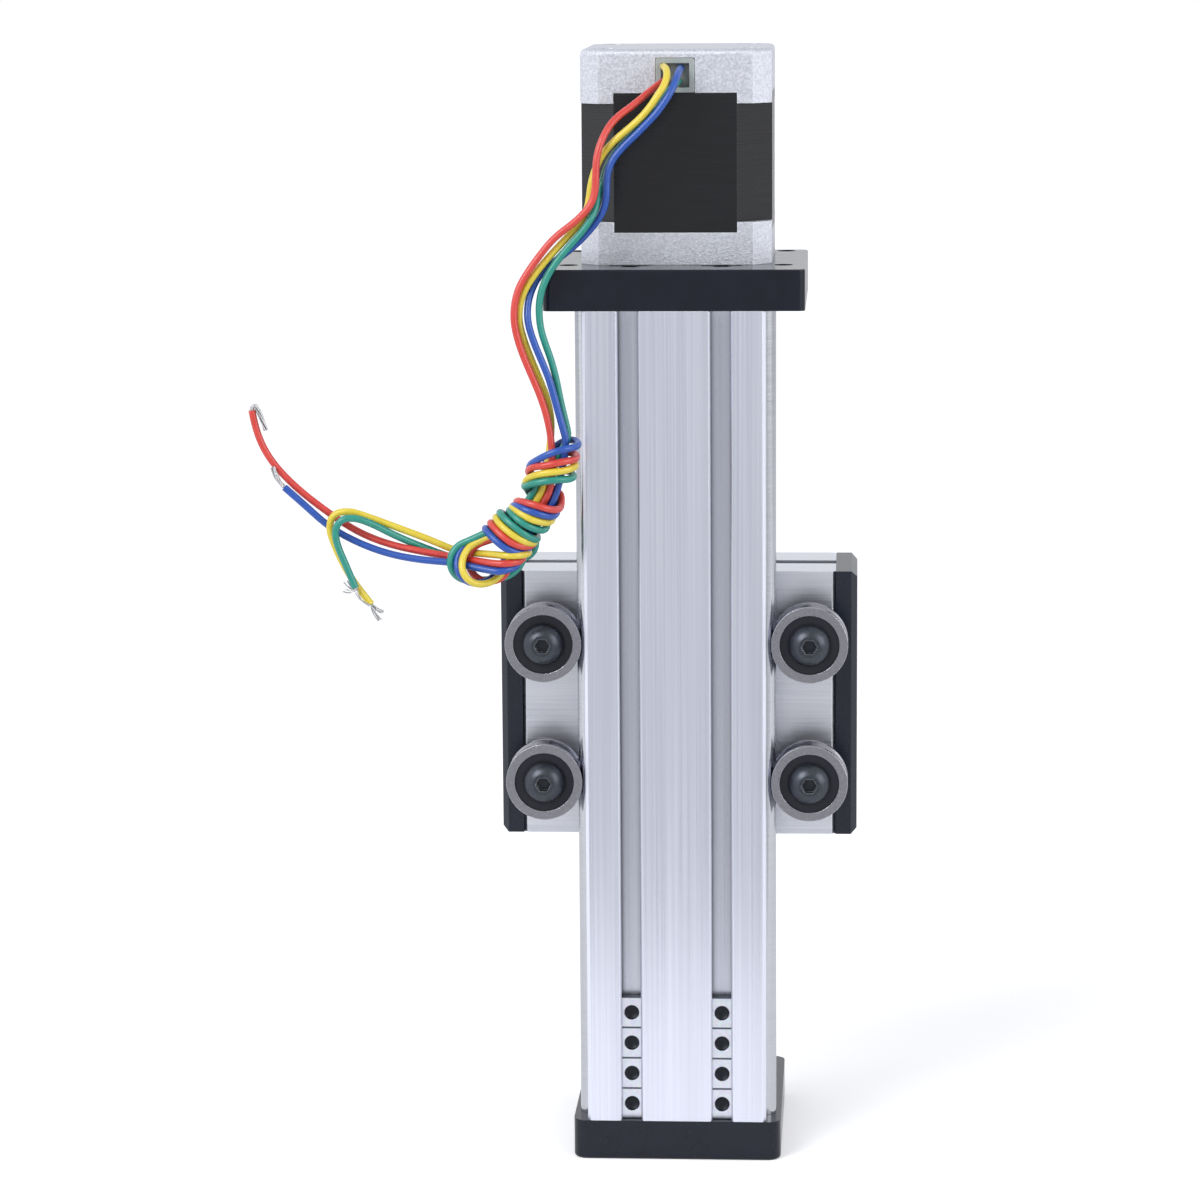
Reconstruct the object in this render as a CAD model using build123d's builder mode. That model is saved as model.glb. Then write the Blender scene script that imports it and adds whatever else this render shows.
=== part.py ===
from build123d import *
import math
import os

# A ball screw linear module standing on its end plate, in millimetres.
# +Z runs along the screw towards the motor. The base extrusion's T-slot face looks along -Y
# and the carriage's table along +Y. The origin is the middle of the footprint, on the floor.
# A depth is measured from the T-slot face towards the table.

# Overall frame
module_depth = 54.0
profile_length = 182.0
profile_width = 40.0
profile_depth = 17.0
end_plate_width = 46.5
end_plate_thickness = 9.0
end_plate_corner = 3.0
motor_plate_width = 57.0
motor_plate_thickness = 9.0
plate_corner = 1.6
plate_edge = 0.8
plate_rim_chamfer = 0.2

# T-slots for 7 mm square nuts
slot_spacing = 20.2
slot_opening = 4.3
slot_lip = 1.9
slot_width = 7.5
slot_room = 2.7
slot_chamfer = 0.4
profile_chamfer = 0.7
square_nut_side = 7.0
square_nut_thickness = 2.2
square_nut_bore = 3.3
square_nuts_in_slot = 4
square_nut_gap = 0.02
square_nut_play = 0.1

# Guide shafts and their rollers
shaft_diameter = 6.0
shaft_reach = 2.1
roller_diameter = 17.0
roller_width = 7.0
roller_bite = 1.1
roller_spacing = 31.2
roller_bore = 5.0
inner_ring_diameter = 7.0
seal_seat_diameter = 13.2
seal_seat_depth = 0.9
seal_thickness = 0.5
seal_recess = 0.3
race_diameter = 12.0
bush_length = 6.5
bush_diameter = 8.5
eccentric_hex = 10.0
eccentric_hex_length = 3.0
eccentric_shift = 0.5
bolt_head_diameter = 9.5
bolt_head_height = 2.75
bolt_hex = 3.0
bolt_hex_depth = 1.6
bolt_grip = 8.0
bolt_flat_diameter = 4.8
bolt_crown_across = 0.86
bolt_crown_up = 0.55

# Carriage
carriage_width = 80.0
carriage_length = 60.0
carriage_thickness = 27.5
carriage_middle = 101.0
cap_thickness = 4.8
cap_chamfer = 1.3
spigot_diameter = 5.0
spigot_length = 4.0
spigot_offset = 18.0
end_groove_width = 4.6
end_groove_depth = 4.0
table_skin = 2.8
channel_half_width = 16.5
carriage_chamfer = 0.8
table_hole_across = 50.0
table_hole_along = 40.0
table_hole_diameter = 4.2
table_hole_depth = 9.0

# Screw, nut and bearings
screw_depth = 33.0
screw_diameter = 10.0
journal_diameter = 6.0
screw_foot = 3.6
screw_shoulder_foot = 9.4
screw_end_chamfer = 0.5
collar_chamfer = 0.8
nut_diameter = 20.0
nut_length = 27.0
nut_flange_diameter = 36.0
nut_flange_width = 24.0
nut_flange_thickness = 5.0
nut_hole_circle = 28.0
nut_hole_angle = 30.0
wiper_diameter = 16.0
wiper_thickness = 2.0
block_foot = 149.0
block_height = 11.0
block_width = 31.0
block_round = 19.0
block_shoulder = 13.0
block_lip = 1.0
block_screw_spacing = 24.8
block_screw_grip = 7.0
bearing_outside = 15.0
bearing_width = 5.0
end_bearing_outside = 13.0
end_bearing_width = 5.0
shield_recess = 0.35
inner_race_share = 0.15
outer_race_share = 0.1
lock_nut_diameter = 12.0
lock_nut_height = 3.5
lock_nut_nose = 0.5
lock_nut_nose_wall = 1.0
lock_nut_slots = 4
lock_nut_slot_depth = 0.8
lock_nut_slot_width = 2.4

# Coupling between motor shaft and screw
coupling_diameter = 18.0
hub_length = 9.5
jaw_height = 4.6
jaw_angle = 62.0
jaw_play_angle = 4.0
spider_thickness = 5.0
spider_eye = 8.0
coupling_clearance = 2.0
shaft_gap = 2.0
grub_recess = 0.5
grub_hex = 1.5
grub_hex_depth = 1.5

# Motor
motor_size = 42.0
motor_near_depth = 12.0
rear_cap_height = 9.5
stator_height = 30.4
front_cap_height = 7.1
front_cap_floor = 1.0
cap_corner = 4.0
stator_corner = 7.5
cap_leg = 2.3
cap_top_edge = 1.2
motor_screw_spacing = 31.0
pilot_diameter = 22.0
pilot_height = 2.0
motor_shaft_diameter = 5.0
motor_shaft_reach = 24.0
motor_shaft_chamfer = 0.4
motor_bearing_outside = 16.0
motor_bearing_width = 5.0
rotor_diameter = 25.0
rotor_gap = 0.4
rotor_teeth = 50
tooth_depth = 0.6
tooth_gap_width = 0.8
rotor_cup_length = 10.0
magnet_length = 3.0
magnet_diameter = 20.0
stator_pole_count = 8
winding_pocket_width = 6.0
winding_pocket_inner = 14.2
winding_pocket_outer = 18.4
coil_overhang = 2.5
cavity_diameter = 38.0
rear_cavity_diameter = 26.0
case_screw_recess = 0.6

# Lead outlet in the rear cap
outlet_width = 8.6
outlet_height = 7.6
outlet_depth = 2.8
outlet_opening_width = 6.2
outlet_opening_height = 5.3
outlet_floor = 1.0
outlet_corner = 0.4

# Screws through the plates
plate_screw_depth = 10.4
plate_screw_diameter = 5.0
plate_screw_head = 8.5
plate_screw_head_height = 5.0
plate_screw_grip = 12.0
ear_hole_across = 47.2
ear_hole_near_depth = 12.4
ear_hole_far_margin = 3.6
ear_hole_diameter = 4.2
m3_diameter = 3.0
m3_head = 5.5
m3_head_height = 3.0
m3_grip = 4.0
m4_diameter = 4.0
m4_head = 7.0
m4_head_height = 4.0
m4_grip = 8.0
socket_depth_share = 0.5
socket_across_share = 0.85

# Wires
wire_diameter = 1.6
tip_diameter = 1.0
tip_length = 5.8
wire_arc_share = 0.45

# Clearances
running = 0.03
seat = 0.05
free = 0.1
shaft_groove_clearance = 0.08
bore_relief = 1.0

# Places worked out from the sizes above
near_y = -module_depth / 2
screw_y = near_y + screw_depth
profile_back_y = near_y + profile_depth
profile_foot = end_plate_thickness
profile_top = profile_foot + profile_length
motor_foot = profile_top + motor_plate_thickness
front_cap_top = motor_foot + front_cap_height
stator_top = front_cap_top + stator_height
motor_top = stator_top + rear_cap_height
motor_near_y = near_y + motor_near_depth
motor_y = motor_near_y + motor_size / 2
shaft_y = near_y + profile_depth / 2
shaft_x = profile_width / 2 + shaft_reach - shaft_diameter / 2
roller_x = shaft_x + shaft_diameter / 2 + roller_diameter / 2 - roller_bite
roller_near_y = shaft_y - roller_width / 2
roller_far_y = shaft_y + roller_width / 2
carriage_near_y = roller_far_y + bush_length
carriage_far_y = carriage_near_y + carriage_thickness
carriage_mid_y = (carriage_near_y + carriage_far_y) / 2
carriage_foot = carriage_middle - carriage_length / 2
carriage_top = carriage_middle + carriage_length / 2
body_half_width = carriage_width / 2 - cap_thickness
plate_screw_y = near_y + plate_screw_depth
nut_foot = carriage_foot - nut_flange_thickness
nut_top = carriage_foot + nut_length
block_top = block_foot + block_height
bearing_foot = block_top - 2 * bearing_width
coupling_top = profile_top - coupling_clearance
ear_hole_along = module_depth - ear_hole_near_depth - ear_hole_far_margin
motor_shaft_end = motor_foot - motor_shaft_reach
screw_top = motor_shaft_end - shaft_gap
coupling_foot = coupling_top - 2 * hub_length - spider_thickness
nut_hole_turns = (nut_hole_angle, 180 - nut_hole_angle, 180 + nut_hole_angle, -nut_hole_angle)
nut_holes = [
    (
        nut_hole_circle / 2 * math.cos(math.radians(turn)),
        screw_y + nut_hole_circle / 2 * math.sin(math.radians(turn)),
    )
    for turn in nut_hole_turns
]
roller_places = {
    "upper_left": (-roller_x, carriage_middle + roller_spacing / 2),
    "upper_right": (roller_x, carriage_middle + roller_spacing / 2),
    "lower_left": (-roller_x, carriage_middle - roller_spacing / 2),
    "lower_right": (roller_x, carriage_middle - roller_spacing / 2),
}

screw_plane = Plane(origin=(0, screw_y, 0))
screw_section = Plane.XZ.offset(-screw_y)
screw_line = Axis((0, screw_y, 0), (0, 0, 1))
motor_plane = Plane(origin=(0, motor_y, 0))
motor_section = Plane.XZ.offset(-motor_y)
motor_line = Axis((0, motor_y, 0), (0, 0, 1))
os.makedirs("parts", exist_ok=True)


def save(piece, name):
    """Labels a finished piece and writes it to its own file."""
    piece.label = name
    export_step(piece, "parts/" + name + ".step")


def facing_y(x, y, z):
    """A plane across the Y axis whose normal looks along +Y."""
    return Plane(origin=(x, y, z), x_dir=(1, 0, 0), z_dir=(0, 1, 0))


def facing_down(x, y, z):
    """A level plane whose normal looks down."""
    return Plane(origin=(x, y, z), x_dir=(1, 0, 0), z_dir=(0, 0, -1))


# Base extrusion, with its T-slots, shaft seats and screw cores
with BuildPart() as base_extrusion:
    with BuildSketch(Plane.XY.offset(profile_foot)):
        with Locations((0, near_y + profile_depth / 2)):
            Rectangle(profile_width, profile_depth)
        with Locations((-shaft_x, shaft_y), (shaft_x, shaft_y)):
            Circle(shaft_diameter / 2, mode=Mode.SUBTRACT)
        for slot_x in (-slot_spacing / 2, slot_spacing / 2):
            with Locations((slot_x, near_y)):
                Rectangle(slot_opening, slot_lip, align=(Align.CENTER, Align.MIN), mode=Mode.SUBTRACT)
            with Locations((slot_x, near_y + slot_lip)):
                Rectangle(slot_width, slot_room, align=(Align.CENTER, Align.MIN), mode=Mode.SUBTRACT)
        with Locations((-slot_spacing / 2, plate_screw_y), (slot_spacing / 2, plate_screw_y)):
            Circle(plate_screw_diameter / 2, mode=Mode.SUBTRACT)
    extrude(amount=profile_length)
    long_edges = base_extrusion.edges().filter_by(Axis.Z)
    outer_edges = long_edges.filter_by_position(Axis.X, -profile_width, -profile_width / 2 + seat)
    outer_edges += long_edges.filter_by_position(Axis.X, profile_width / 2 - seat, profile_width)
    corners = outer_edges.filter_by_position(Axis.Y, near_y - seat, near_y + seat)
    corners += outer_edges.filter_by_position(Axis.Y, profile_back_y - seat, profile_back_y + seat)
    chamfer(corners, profile_chamfer)
    mouths = base_extrusion.edges().filter_by(Axis.Z).filter_by_position(Axis.Y, near_y - seat, near_y + seat)
    mouths = mouths.filter_by_position(
        Axis.X, -slot_spacing / 2 - slot_opening, slot_spacing / 2 + slot_opening
    )
    chamfer(mouths, slot_chamfer)
    with Locations(facing_y(0, profile_back_y, block_foot + block_height / 2)):
        with GridLocations(block_screw_spacing, 0, 2, 1):
            Hole(m3_diameter / 2 + seat, block_screw_grip + seat)
save(base_extrusion.part, "base_extrusion")

# Guide shafts, snapped into the side seats
with BuildPart() as guide_shafts:
    with BuildSketch(Plane.XY.offset(profile_foot)):
        with Locations((-shaft_x, shaft_y), (shaft_x, shaft_y)):
            Circle(shaft_diameter / 2)
    extrude(amount=profile_length)
save(guide_shafts.part, "guide_shafts")

# End plate, with counterbored screw holes underneath and a bearing pocket on top
with BuildPart() as end_plate:
    with BuildSketch():
        Rectangle(end_plate_width, module_depth)
    extrude(amount=end_plate_thickness)
    fillet(end_plate.edges().filter_by(Axis.Z), end_plate_corner)
    fillet(end_plate.faces().sort_by(Axis.Z)[0].edges(), plate_edge)
    with Locations(facing_down(0, plate_screw_y, 0)):
        with GridLocations(slot_spacing, 0, 2, 1):
            CounterBoreHole(
                plate_screw_diameter / 2 + free,
                plate_screw_head / 2 + 2 * free,
                plate_screw_head_height + free,
            )
    with Locations(screw_plane.offset(end_plate_thickness)):
        Hole(end_bearing_outside / 2, end_bearing_width)
        Hole(journal_diameter / 2 + bore_relief, end_plate_thickness - plate_edge)
save(end_plate.part, "end_plate")

# Motor plate, with the motor's pilot bore, ear holes and counterbores
with BuildPart() as motor_plate:
    with BuildSketch(Plane.XY.offset(profile_top)):
        Rectangle(motor_plate_width, module_depth)
    extrude(amount=motor_plate_thickness)
    fillet(motor_plate.edges().filter_by(Axis.Z), plate_corner)
    with Locations(motor_plane.offset(motor_foot)):
        Hole(pilot_diameter / 2 + seat)
    with Locations(facing_down(0, motor_y, profile_top)):
        with GridLocations(motor_screw_spacing, motor_screw_spacing, 2, 2):
            CounterBoreHole(m3_diameter / 2 + free, m3_head / 2 + 2 * free, m3_head_height + free)
    with Locations(Plane(origin=(0, plate_screw_y, motor_foot))):
        with GridLocations(slot_spacing, 0, 2, 1):
            CounterBoreHole(
                plate_screw_diameter / 2 + free,
                plate_screw_head / 2 + 2 * free,
                plate_screw_head_height + free,
            )
    with Locations(Plane(origin=(0, near_y + ear_hole_near_depth + ear_hole_along / 2, motor_foot))):
        with GridLocations(ear_hole_across, ear_hole_along, 2, 2):
            Hole(ear_hole_diameter / 2)
    top_rim = motor_plate.faces().sort_by(Axis.Z)[-1].outer_wire().edges()
    chamfer(top_rim, plate_rim_chamfer)
save(motor_plate.part, "motor_plate")


def cap_screws(planes, diameter, head, head_height, length):
    """Socket head cap screws: the plane's normal points from the head's seat to its top."""
    with BuildPart() as screws:
        for plane in planes:
            with BuildSketch(plane):
                Circle(head / 2)
            extrude(amount=head_height)
            with BuildSketch(plane):
                Circle(diameter / 2)
            extrude(amount=-length)
            with BuildSketch(plane.offset(head_height)):
                RegularPolygon(diameter * socket_across_share / 2, 6, major_radius=False)
            extrude(amount=-head_height * socket_depth_share, mode=Mode.SUBTRACT)
    return screws.part


# Screws that hold the two plates, the motor and the bearing block
foot_seat = plate_screw_head_height + free
end_planes = [facing_down(x, plate_screw_y, foot_seat) for x in (-slot_spacing / 2, slot_spacing / 2)]
end_length = end_plate_thickness - foot_seat + plate_screw_grip
save(
    cap_screws(end_planes, plate_screw_diameter, plate_screw_head, plate_screw_head_height, end_length),
    "end_plate_screws",
)
head_seat = motor_foot - foot_seat
top_planes = [Plane(origin=(x, plate_screw_y, head_seat)) for x in (-slot_spacing / 2, slot_spacing / 2)]
top_length = head_seat - profile_top + plate_screw_grip
save(
    cap_screws(top_planes, plate_screw_diameter, plate_screw_head, plate_screw_head_height, top_length),
    "motor_plate_screws",
)
motor_corners = [
    (sx * motor_screw_spacing / 2, motor_y + sy * motor_screw_spacing / 2) for sx in (-1, 1) for sy in (-1, 1)
]
mount_seat = profile_top + m3_head_height + free
save(
    cap_screws(
        [facing_down(x, y, mount_seat) for x, y in motor_corners],
        m3_diameter,
        m3_head,
        m3_head_height,
        motor_foot - mount_seat + m3_grip,
    ),
    "motor_mounting_screws",
)

# Motor front cap, with corner legs, bearing pocket and pilot
with BuildPart() as front_cap:
    with BuildSketch(motor_plane.offset(motor_foot)):
        Rectangle(motor_size, motor_size)
    extrude(amount=front_cap_height + cap_leg)
    chamfer(front_cap.edges().filter_by(Axis.Z), cap_corner)
    with BuildSketch(motor_plane.offset(front_cap_top)) as stator_outline:
        Rectangle(motor_size, motor_size)
        chamfer(stator_outline.vertices(), stator_corner)
    extrude(amount=cap_leg, mode=Mode.SUBTRACT)
    with BuildSketch(motor_plane.offset(front_cap_top)):
        Circle(cavity_diameter / 2)
    extrude(amount=-coil_overhang - free, mode=Mode.SUBTRACT)
    with BuildSketch(motor_plane.offset(motor_foot)):
        Circle(pilot_diameter / 2)
    extrude(amount=-pilot_height)
    with BuildSketch(motor_plane.offset(front_cap_top)):
        Circle(motor_bearing_outside / 2)
    extrude(amount=front_cap_floor - front_cap_height, mode=Mode.SUBTRACT)
    with BuildSketch(motor_plane.offset(-pilot_height + motor_foot)):
        Circle(motor_shaft_diameter / 2 + bore_relief)
    extrude(amount=pilot_height + front_cap_height, mode=Mode.SUBTRACT)
    with BuildSketch(motor_plane.offset(motor_foot)):
        with GridLocations(motor_screw_spacing, motor_screw_spacing, 2, 2):
            Circle(m3_diameter / 2 + seat)
    extrude(amount=front_cap_height + cap_leg, mode=Mode.SUBTRACT)
save(front_cap.part, "motor_front_cap")

# Stator, a stack of laminations with cut corners, eight poles and winding pockets
with BuildPart() as stator:
    with BuildSketch(motor_plane.offset(front_cap_top)) as lamination:
        Rectangle(motor_size, motor_size)
        chamfer(lamination.vertices(), stator_corner)
        Circle(rotor_diameter / 2 + rotor_gap, mode=Mode.SUBTRACT)
        with PolarLocations(
            (winding_pocket_inner + winding_pocket_outer) / 2,
            stator_pole_count,
            start_angle=180 / stator_pole_count,
        ):
            Rectangle(winding_pocket_outer - winding_pocket_inner, winding_pocket_width, mode=Mode.SUBTRACT)
        with GridLocations(motor_screw_spacing, motor_screw_spacing, 2, 2):
            Circle(m3_diameter / 2 + seat, mode=Mode.SUBTRACT)
    extrude(amount=stator_height)
save(stator.part, "motor_stator")

# Windings, one in each pocket, standing a little out of the stack at both ends
with BuildPart() as coils:
    with BuildSketch(motor_plane.offset(front_cap_top - coil_overhang)):
        with PolarLocations(
            (winding_pocket_inner + winding_pocket_outer) / 2,
            stator_pole_count,
            start_angle=180 / stator_pole_count,
        ):
            Rectangle(
                winding_pocket_outer - winding_pocket_inner - 2 * free, winding_pocket_width - 2 * free
            )
    extrude(amount=stator_height + 2 * coil_overhang)
save(coils.part, "motor_coils")

# Motor rear cap, with corner legs, bearing pocket and the notch for the leads
with BuildPart() as rear_cap:
    with BuildSketch(motor_plane.offset(stator_top - cap_leg)):
        Rectangle(motor_size, motor_size)
    extrude(amount=rear_cap_height + cap_leg)
    chamfer(rear_cap.edges().filter_by(Axis.Z), cap_corner)
    fillet(rear_cap.faces().sort_by(Axis.Z)[-1].edges(), cap_top_edge)
    with BuildSketch(motor_plane.offset(stator_top)) as stack_outline:
        Rectangle(motor_size, motor_size)
        chamfer(stack_outline.vertices(), stator_corner)
    extrude(amount=-cap_leg, mode=Mode.SUBTRACT)
    with BuildSketch(motor_plane.offset(stator_top)):
        Circle(rear_cavity_diameter / 2)
    extrude(amount=coil_overhang + free, mode=Mode.SUBTRACT)
    with BuildSketch(motor_plane.offset(stator_top)):
        with PolarLocations(
            (winding_pocket_inner + winding_pocket_outer) / 2,
            stator_pole_count,
            start_angle=180 / stator_pole_count,
        ):
            Rectangle(winding_pocket_outer - winding_pocket_inner, winding_pocket_width)
    extrude(amount=coil_overhang + free, mode=Mode.SUBTRACT)
    with BuildSketch(motor_plane.offset(stator_top)):
        Circle(motor_bearing_outside / 2)
    extrude(amount=coil_overhang + motor_bearing_width, mode=Mode.SUBTRACT)
    with BuildSketch(Plane(origin=(0, motor_near_y, stator_top), x_dir=(1, 0, 0), z_dir=(0, -1, 0))):
        Rectangle(outlet_width, outlet_height, align=(Align.CENTER, Align.MIN))
    extrude(amount=-outlet_depth, mode=Mode.SUBTRACT)
    with BuildSketch(motor_plane.offset(motor_top)):
        with GridLocations(motor_screw_spacing, motor_screw_spacing, 2, 2):
            Circle(m3_head / 2 + free)
    extrude(amount=-m3_head_height - case_screw_recess, mode=Mode.SUBTRACT)
    with BuildSketch(motor_plane.offset(stator_top - cap_leg)):
        with GridLocations(motor_screw_spacing, motor_screw_spacing, 2, 2):
            Circle(m3_diameter / 2 + seat)
    extrude(amount=rear_cap_height + cap_leg, mode=Mode.SUBTRACT)
save(rear_cap.part, "motor_rear_cap")

# Long screws that hold the motor's caps and stack together
case_seat = motor_top - m3_head_height - case_screw_recess
save(
    cap_screws(
        [Plane(origin=(x, y, case_seat)) for x, y in motor_corners],
        m3_diameter,
        m3_head,
        m3_head_height,
        case_seat - motor_foot - m3_grip - 2 * free,
    ),
    "motor_case_screws",
)

# Moulded frame of the lead outlet, with a floor behind its opening
with BuildPart() as lead_frame:
    with BuildSketch(Plane(origin=(0, motor_near_y, stator_top), x_dir=(1, 0, 0), z_dir=(0, -1, 0))):
        with Locations((0, free)):
            Rectangle(outlet_width - 2 * free, outlet_height - 2 * free, align=(Align.CENTER, Align.MIN))
    extrude(amount=-outlet_depth + free)
    frame_edges = lead_frame.edges().filter_by(Axis.Y)
    fillet(frame_edges, outlet_corner)
    with BuildSketch(Plane(origin=(0, motor_near_y, stator_top), x_dir=(1, 0, 0), z_dir=(0, -1, 0))):
        with Locations((0, outlet_height / 2)):
            Rectangle(outlet_opening_width, outlet_opening_height)
    extrude(amount=-outlet_depth + free + outlet_floor, mode=Mode.SUBTRACT)
save(lead_frame.part, "lead_frame")


def bearings(section, line, feet, bore, outside, width):
    """Shielded ball bearings as turned rings with a recessed shield on both faces."""
    inner = bore / 2 + (outside - bore) * inner_race_share
    outer = outside / 2 - (outside - bore) * outer_race_share
    with BuildPart() as group:
        for foot in feet:
            with BuildSketch(section):
                with BuildLine():
                    Polyline(
                        (bore / 2, foot),
                        (inner, foot),
                        (inner, foot + shield_recess),
                        (outer, foot + shield_recess),
                        (outer, foot),
                        (outside / 2, foot),
                        (outside / 2, foot + width),
                        (outer, foot + width),
                        (outer, foot + width - shield_recess),
                        (inner, foot + width - shield_recess),
                        (inner, foot + width),
                        (bore / 2, foot + width),
                        close=True,
                    )
                make_face()
            revolve(axis=line)
    return group.part


save(
    bearings(
        motor_section,
        motor_line,
        (motor_foot + front_cap_floor, stator_top + coil_overhang),
        motor_shaft_diameter + 2 * running,
        motor_bearing_outside,
        motor_bearing_width,
    ),
    "motor_bearings",
)
save(
    bearings(
        screw_section,
        screw_line,
        (bearing_foot, bearing_foot + bearing_width),
        journal_diameter + 2 * running,
        bearing_outside,
        bearing_width,
    ),
    "block_bearings",
)
save(
    bearings(
        screw_section,
        screw_line,
        (end_plate_thickness - end_bearing_width,),
        journal_diameter + 2 * running,
        end_bearing_outside,
        end_bearing_width,
    ),
    "free_end_bearing",
)

# Bearing block on the back of the extrusion: a round housing on a flat foot with shoulders
with BuildPart() as bearing_block:
    with BuildSketch(Plane.XY.offset(block_foot)):
        with Locations((0, profile_back_y)):
            Rectangle(block_width, block_shoulder, align=(Align.CENTER, Align.MIN))
        with Locations((0, profile_back_y)):
            Rectangle(block_round, screw_y - profile_back_y, align=(Align.CENTER, Align.MIN))
        with Locations((0, screw_y)):
            Circle(block_round / 2)
    extrude(amount=block_height)
    with Locations(screw_plane.offset(block_top)):
        Hole(bearing_outside / 2, 2 * bearing_width)
        Hole(bearing_outside / 2 - block_lip)
    with Locations(facing_y(0, profile_back_y + block_shoulder, block_foot + block_height / 2)):
        with GridLocations(block_screw_spacing, 0, 2, 1):
            Hole(m3_diameter / 2 + seat, block_shoulder)
save(bearing_block.part, "bearing_block")
block_planes = [
    facing_y(x, profile_back_y + block_shoulder, block_foot + block_height / 2)
    for x in (-block_screw_spacing / 2, block_screw_spacing / 2)
]
save(
    cap_screws(block_planes, m3_diameter, m3_head, m3_head_height, block_shoulder + block_screw_grip),
    "block_screws",
)

# Ball screw with its two journals
with BuildPart() as ball_screw:
    with BuildSketch(screw_section):
        with BuildLine():
            Polyline(
                (0, screw_foot),
                (journal_diameter / 2, screw_foot),
                (journal_diameter / 2, screw_shoulder_foot),
                (screw_diameter / 2 - screw_end_chamfer, screw_shoulder_foot),
                (screw_diameter / 2, screw_shoulder_foot + screw_end_chamfer),
                (screw_diameter / 2, block_foot - screw_end_chamfer),
                (screw_diameter / 2 - screw_end_chamfer, block_foot),
                (screw_diameter / 2 - collar_chamfer, bearing_foot - running),
                (journal_diameter / 2, bearing_foot - running),
                (journal_diameter / 2, screw_top),
                (0, screw_top),
                close=True,
            )
        make_face()
    revolve(axis=screw_line)
save(ball_screw.part, "ball_screw")

# Lock nut that clamps the bearings' inner rings
with BuildPart() as lock_nut:
    with BuildSketch(screw_plane.offset(block_top + lock_nut_nose)):
        Circle(lock_nut_diameter / 2)
        Circle(journal_diameter / 2 + seat, mode=Mode.SUBTRACT)
        with PolarLocations(lock_nut_diameter / 2, lock_nut_slots):
            Rectangle(2 * lock_nut_slot_depth, lock_nut_slot_width, mode=Mode.SUBTRACT)
    extrude(amount=lock_nut_height)
    with BuildSketch(screw_plane.offset(block_top + running)):
        Circle(journal_diameter / 2 + lock_nut_nose_wall)
        Circle(journal_diameter / 2 + seat, mode=Mode.SUBTRACT)
    extrude(amount=lock_nut_nose - running)
save(lock_nut.part, "lock_nut")


def jaw_hub(foot, jaws_up, bore):
    """One coupling hub: a turned body with two jaws and a cross hole for its grub screw."""
    jaw_foot = foot + hub_length if jaws_up else foot - jaw_height
    first_jaw = 0 if jaws_up else 90
    with BuildPart() as hub:
        with BuildSketch(screw_plane.offset(foot)):
            Circle(coupling_diameter / 2)
        extrude(amount=hub_length)
        with BuildSketch(screw_plane.offset(jaw_foot)):
            for turn in (first_jaw, first_jaw + 180):
                with BuildLine():
                    CenterArc((0, 0), coupling_diameter / 2, turn - jaw_angle / 2, jaw_angle)
                    a = math.radians(turn - jaw_angle / 2)
                    b = math.radians(turn + jaw_angle / 2)
                    r = coupling_diameter / 2
                    Line((0, 0), (r * math.cos(a), r * math.sin(a)))
                    Line((r * math.cos(b), r * math.sin(b)), (0, 0))
                make_face()
            Circle(spider_eye / 2, mode=Mode.SUBTRACT)
        extrude(amount=jaw_height)
        with Locations(screw_plane.offset(foot + hub_length)):
            Hole(bore / 2 + running, hub_length)
        flank = Plane(origin=(coupling_diameter / 2, screw_y, foot + hub_length / 2), z_dir=(1, 0, 0))
        with Locations(flank):
            Hole(m3_diameter / 2 + seat, coupling_diameter / 2)
    return hub.part


save(jaw_hub(coupling_foot, True, journal_diameter), "coupling_screw_hub")
save(jaw_hub(coupling_top - hub_length, False, motor_shaft_diameter), "coupling_motor_hub")

# Coupling spider, with four elastic lobes between the jaws
with BuildPart() as spider:
    with BuildSketch(screw_plane.offset(coupling_foot + hub_length + free)):
        Circle(coupling_diameter / 2 - free)
        for turn in (0, 90, 180, 270):
            with BuildLine():
                span = jaw_angle + jaw_play_angle
                CenterArc((0, 0), coupling_diameter, turn - span / 2, span)
                a = math.radians(turn - span / 2)
                b = math.radians(turn + span / 2)
                r = coupling_diameter
                Line((0, 0), (r * math.cos(a), r * math.sin(a)))
                Line((r * math.cos(b), r * math.sin(b)), (0, 0))
            make_face(mode=Mode.SUBTRACT)
        Circle(spider_eye / 2 - free)
        Circle(motor_shaft_diameter / 2 + free, mode=Mode.SUBTRACT)
    extrude(amount=spider_thickness - 2 * free)
save(spider.part, "coupling_spider")

# Grub screws of the two hubs
grub_end = coupling_diameter / 2 - grub_recess
with BuildPart() as coupling_screws:
    for middle, bore in (
        (coupling_foot + hub_length / 2, journal_diameter),
        (coupling_top - hub_length / 2, motor_shaft_diameter),
    ):
        outer_end = Plane(origin=(grub_end, screw_y, middle), z_dir=(1, 0, 0))
        with BuildSketch(outer_end):
            Circle(m3_diameter / 2)
        extrude(amount=-(grub_end - bore / 2 - seat))
        with BuildSketch(outer_end):
            RegularPolygon(grub_hex / 2, 6, major_radius=False)
        extrude(amount=-grub_hex_depth, mode=Mode.SUBTRACT)
save(coupling_screws.part, "coupling_screws")

# Motor shaft
with BuildPart() as motor_shaft:
    with BuildSketch(motor_plane.offset(motor_shaft_end)):
        Circle(motor_shaft_diameter / 2)
    extrude(amount=stator_top + coil_overhang + motor_bearing_width - motor_shaft_end)
    chamfer(motor_shaft.faces().sort_by(Axis.Z)[0].edges(), motor_shaft_chamfer)
save(motor_shaft.part, "motor_shaft")

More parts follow.
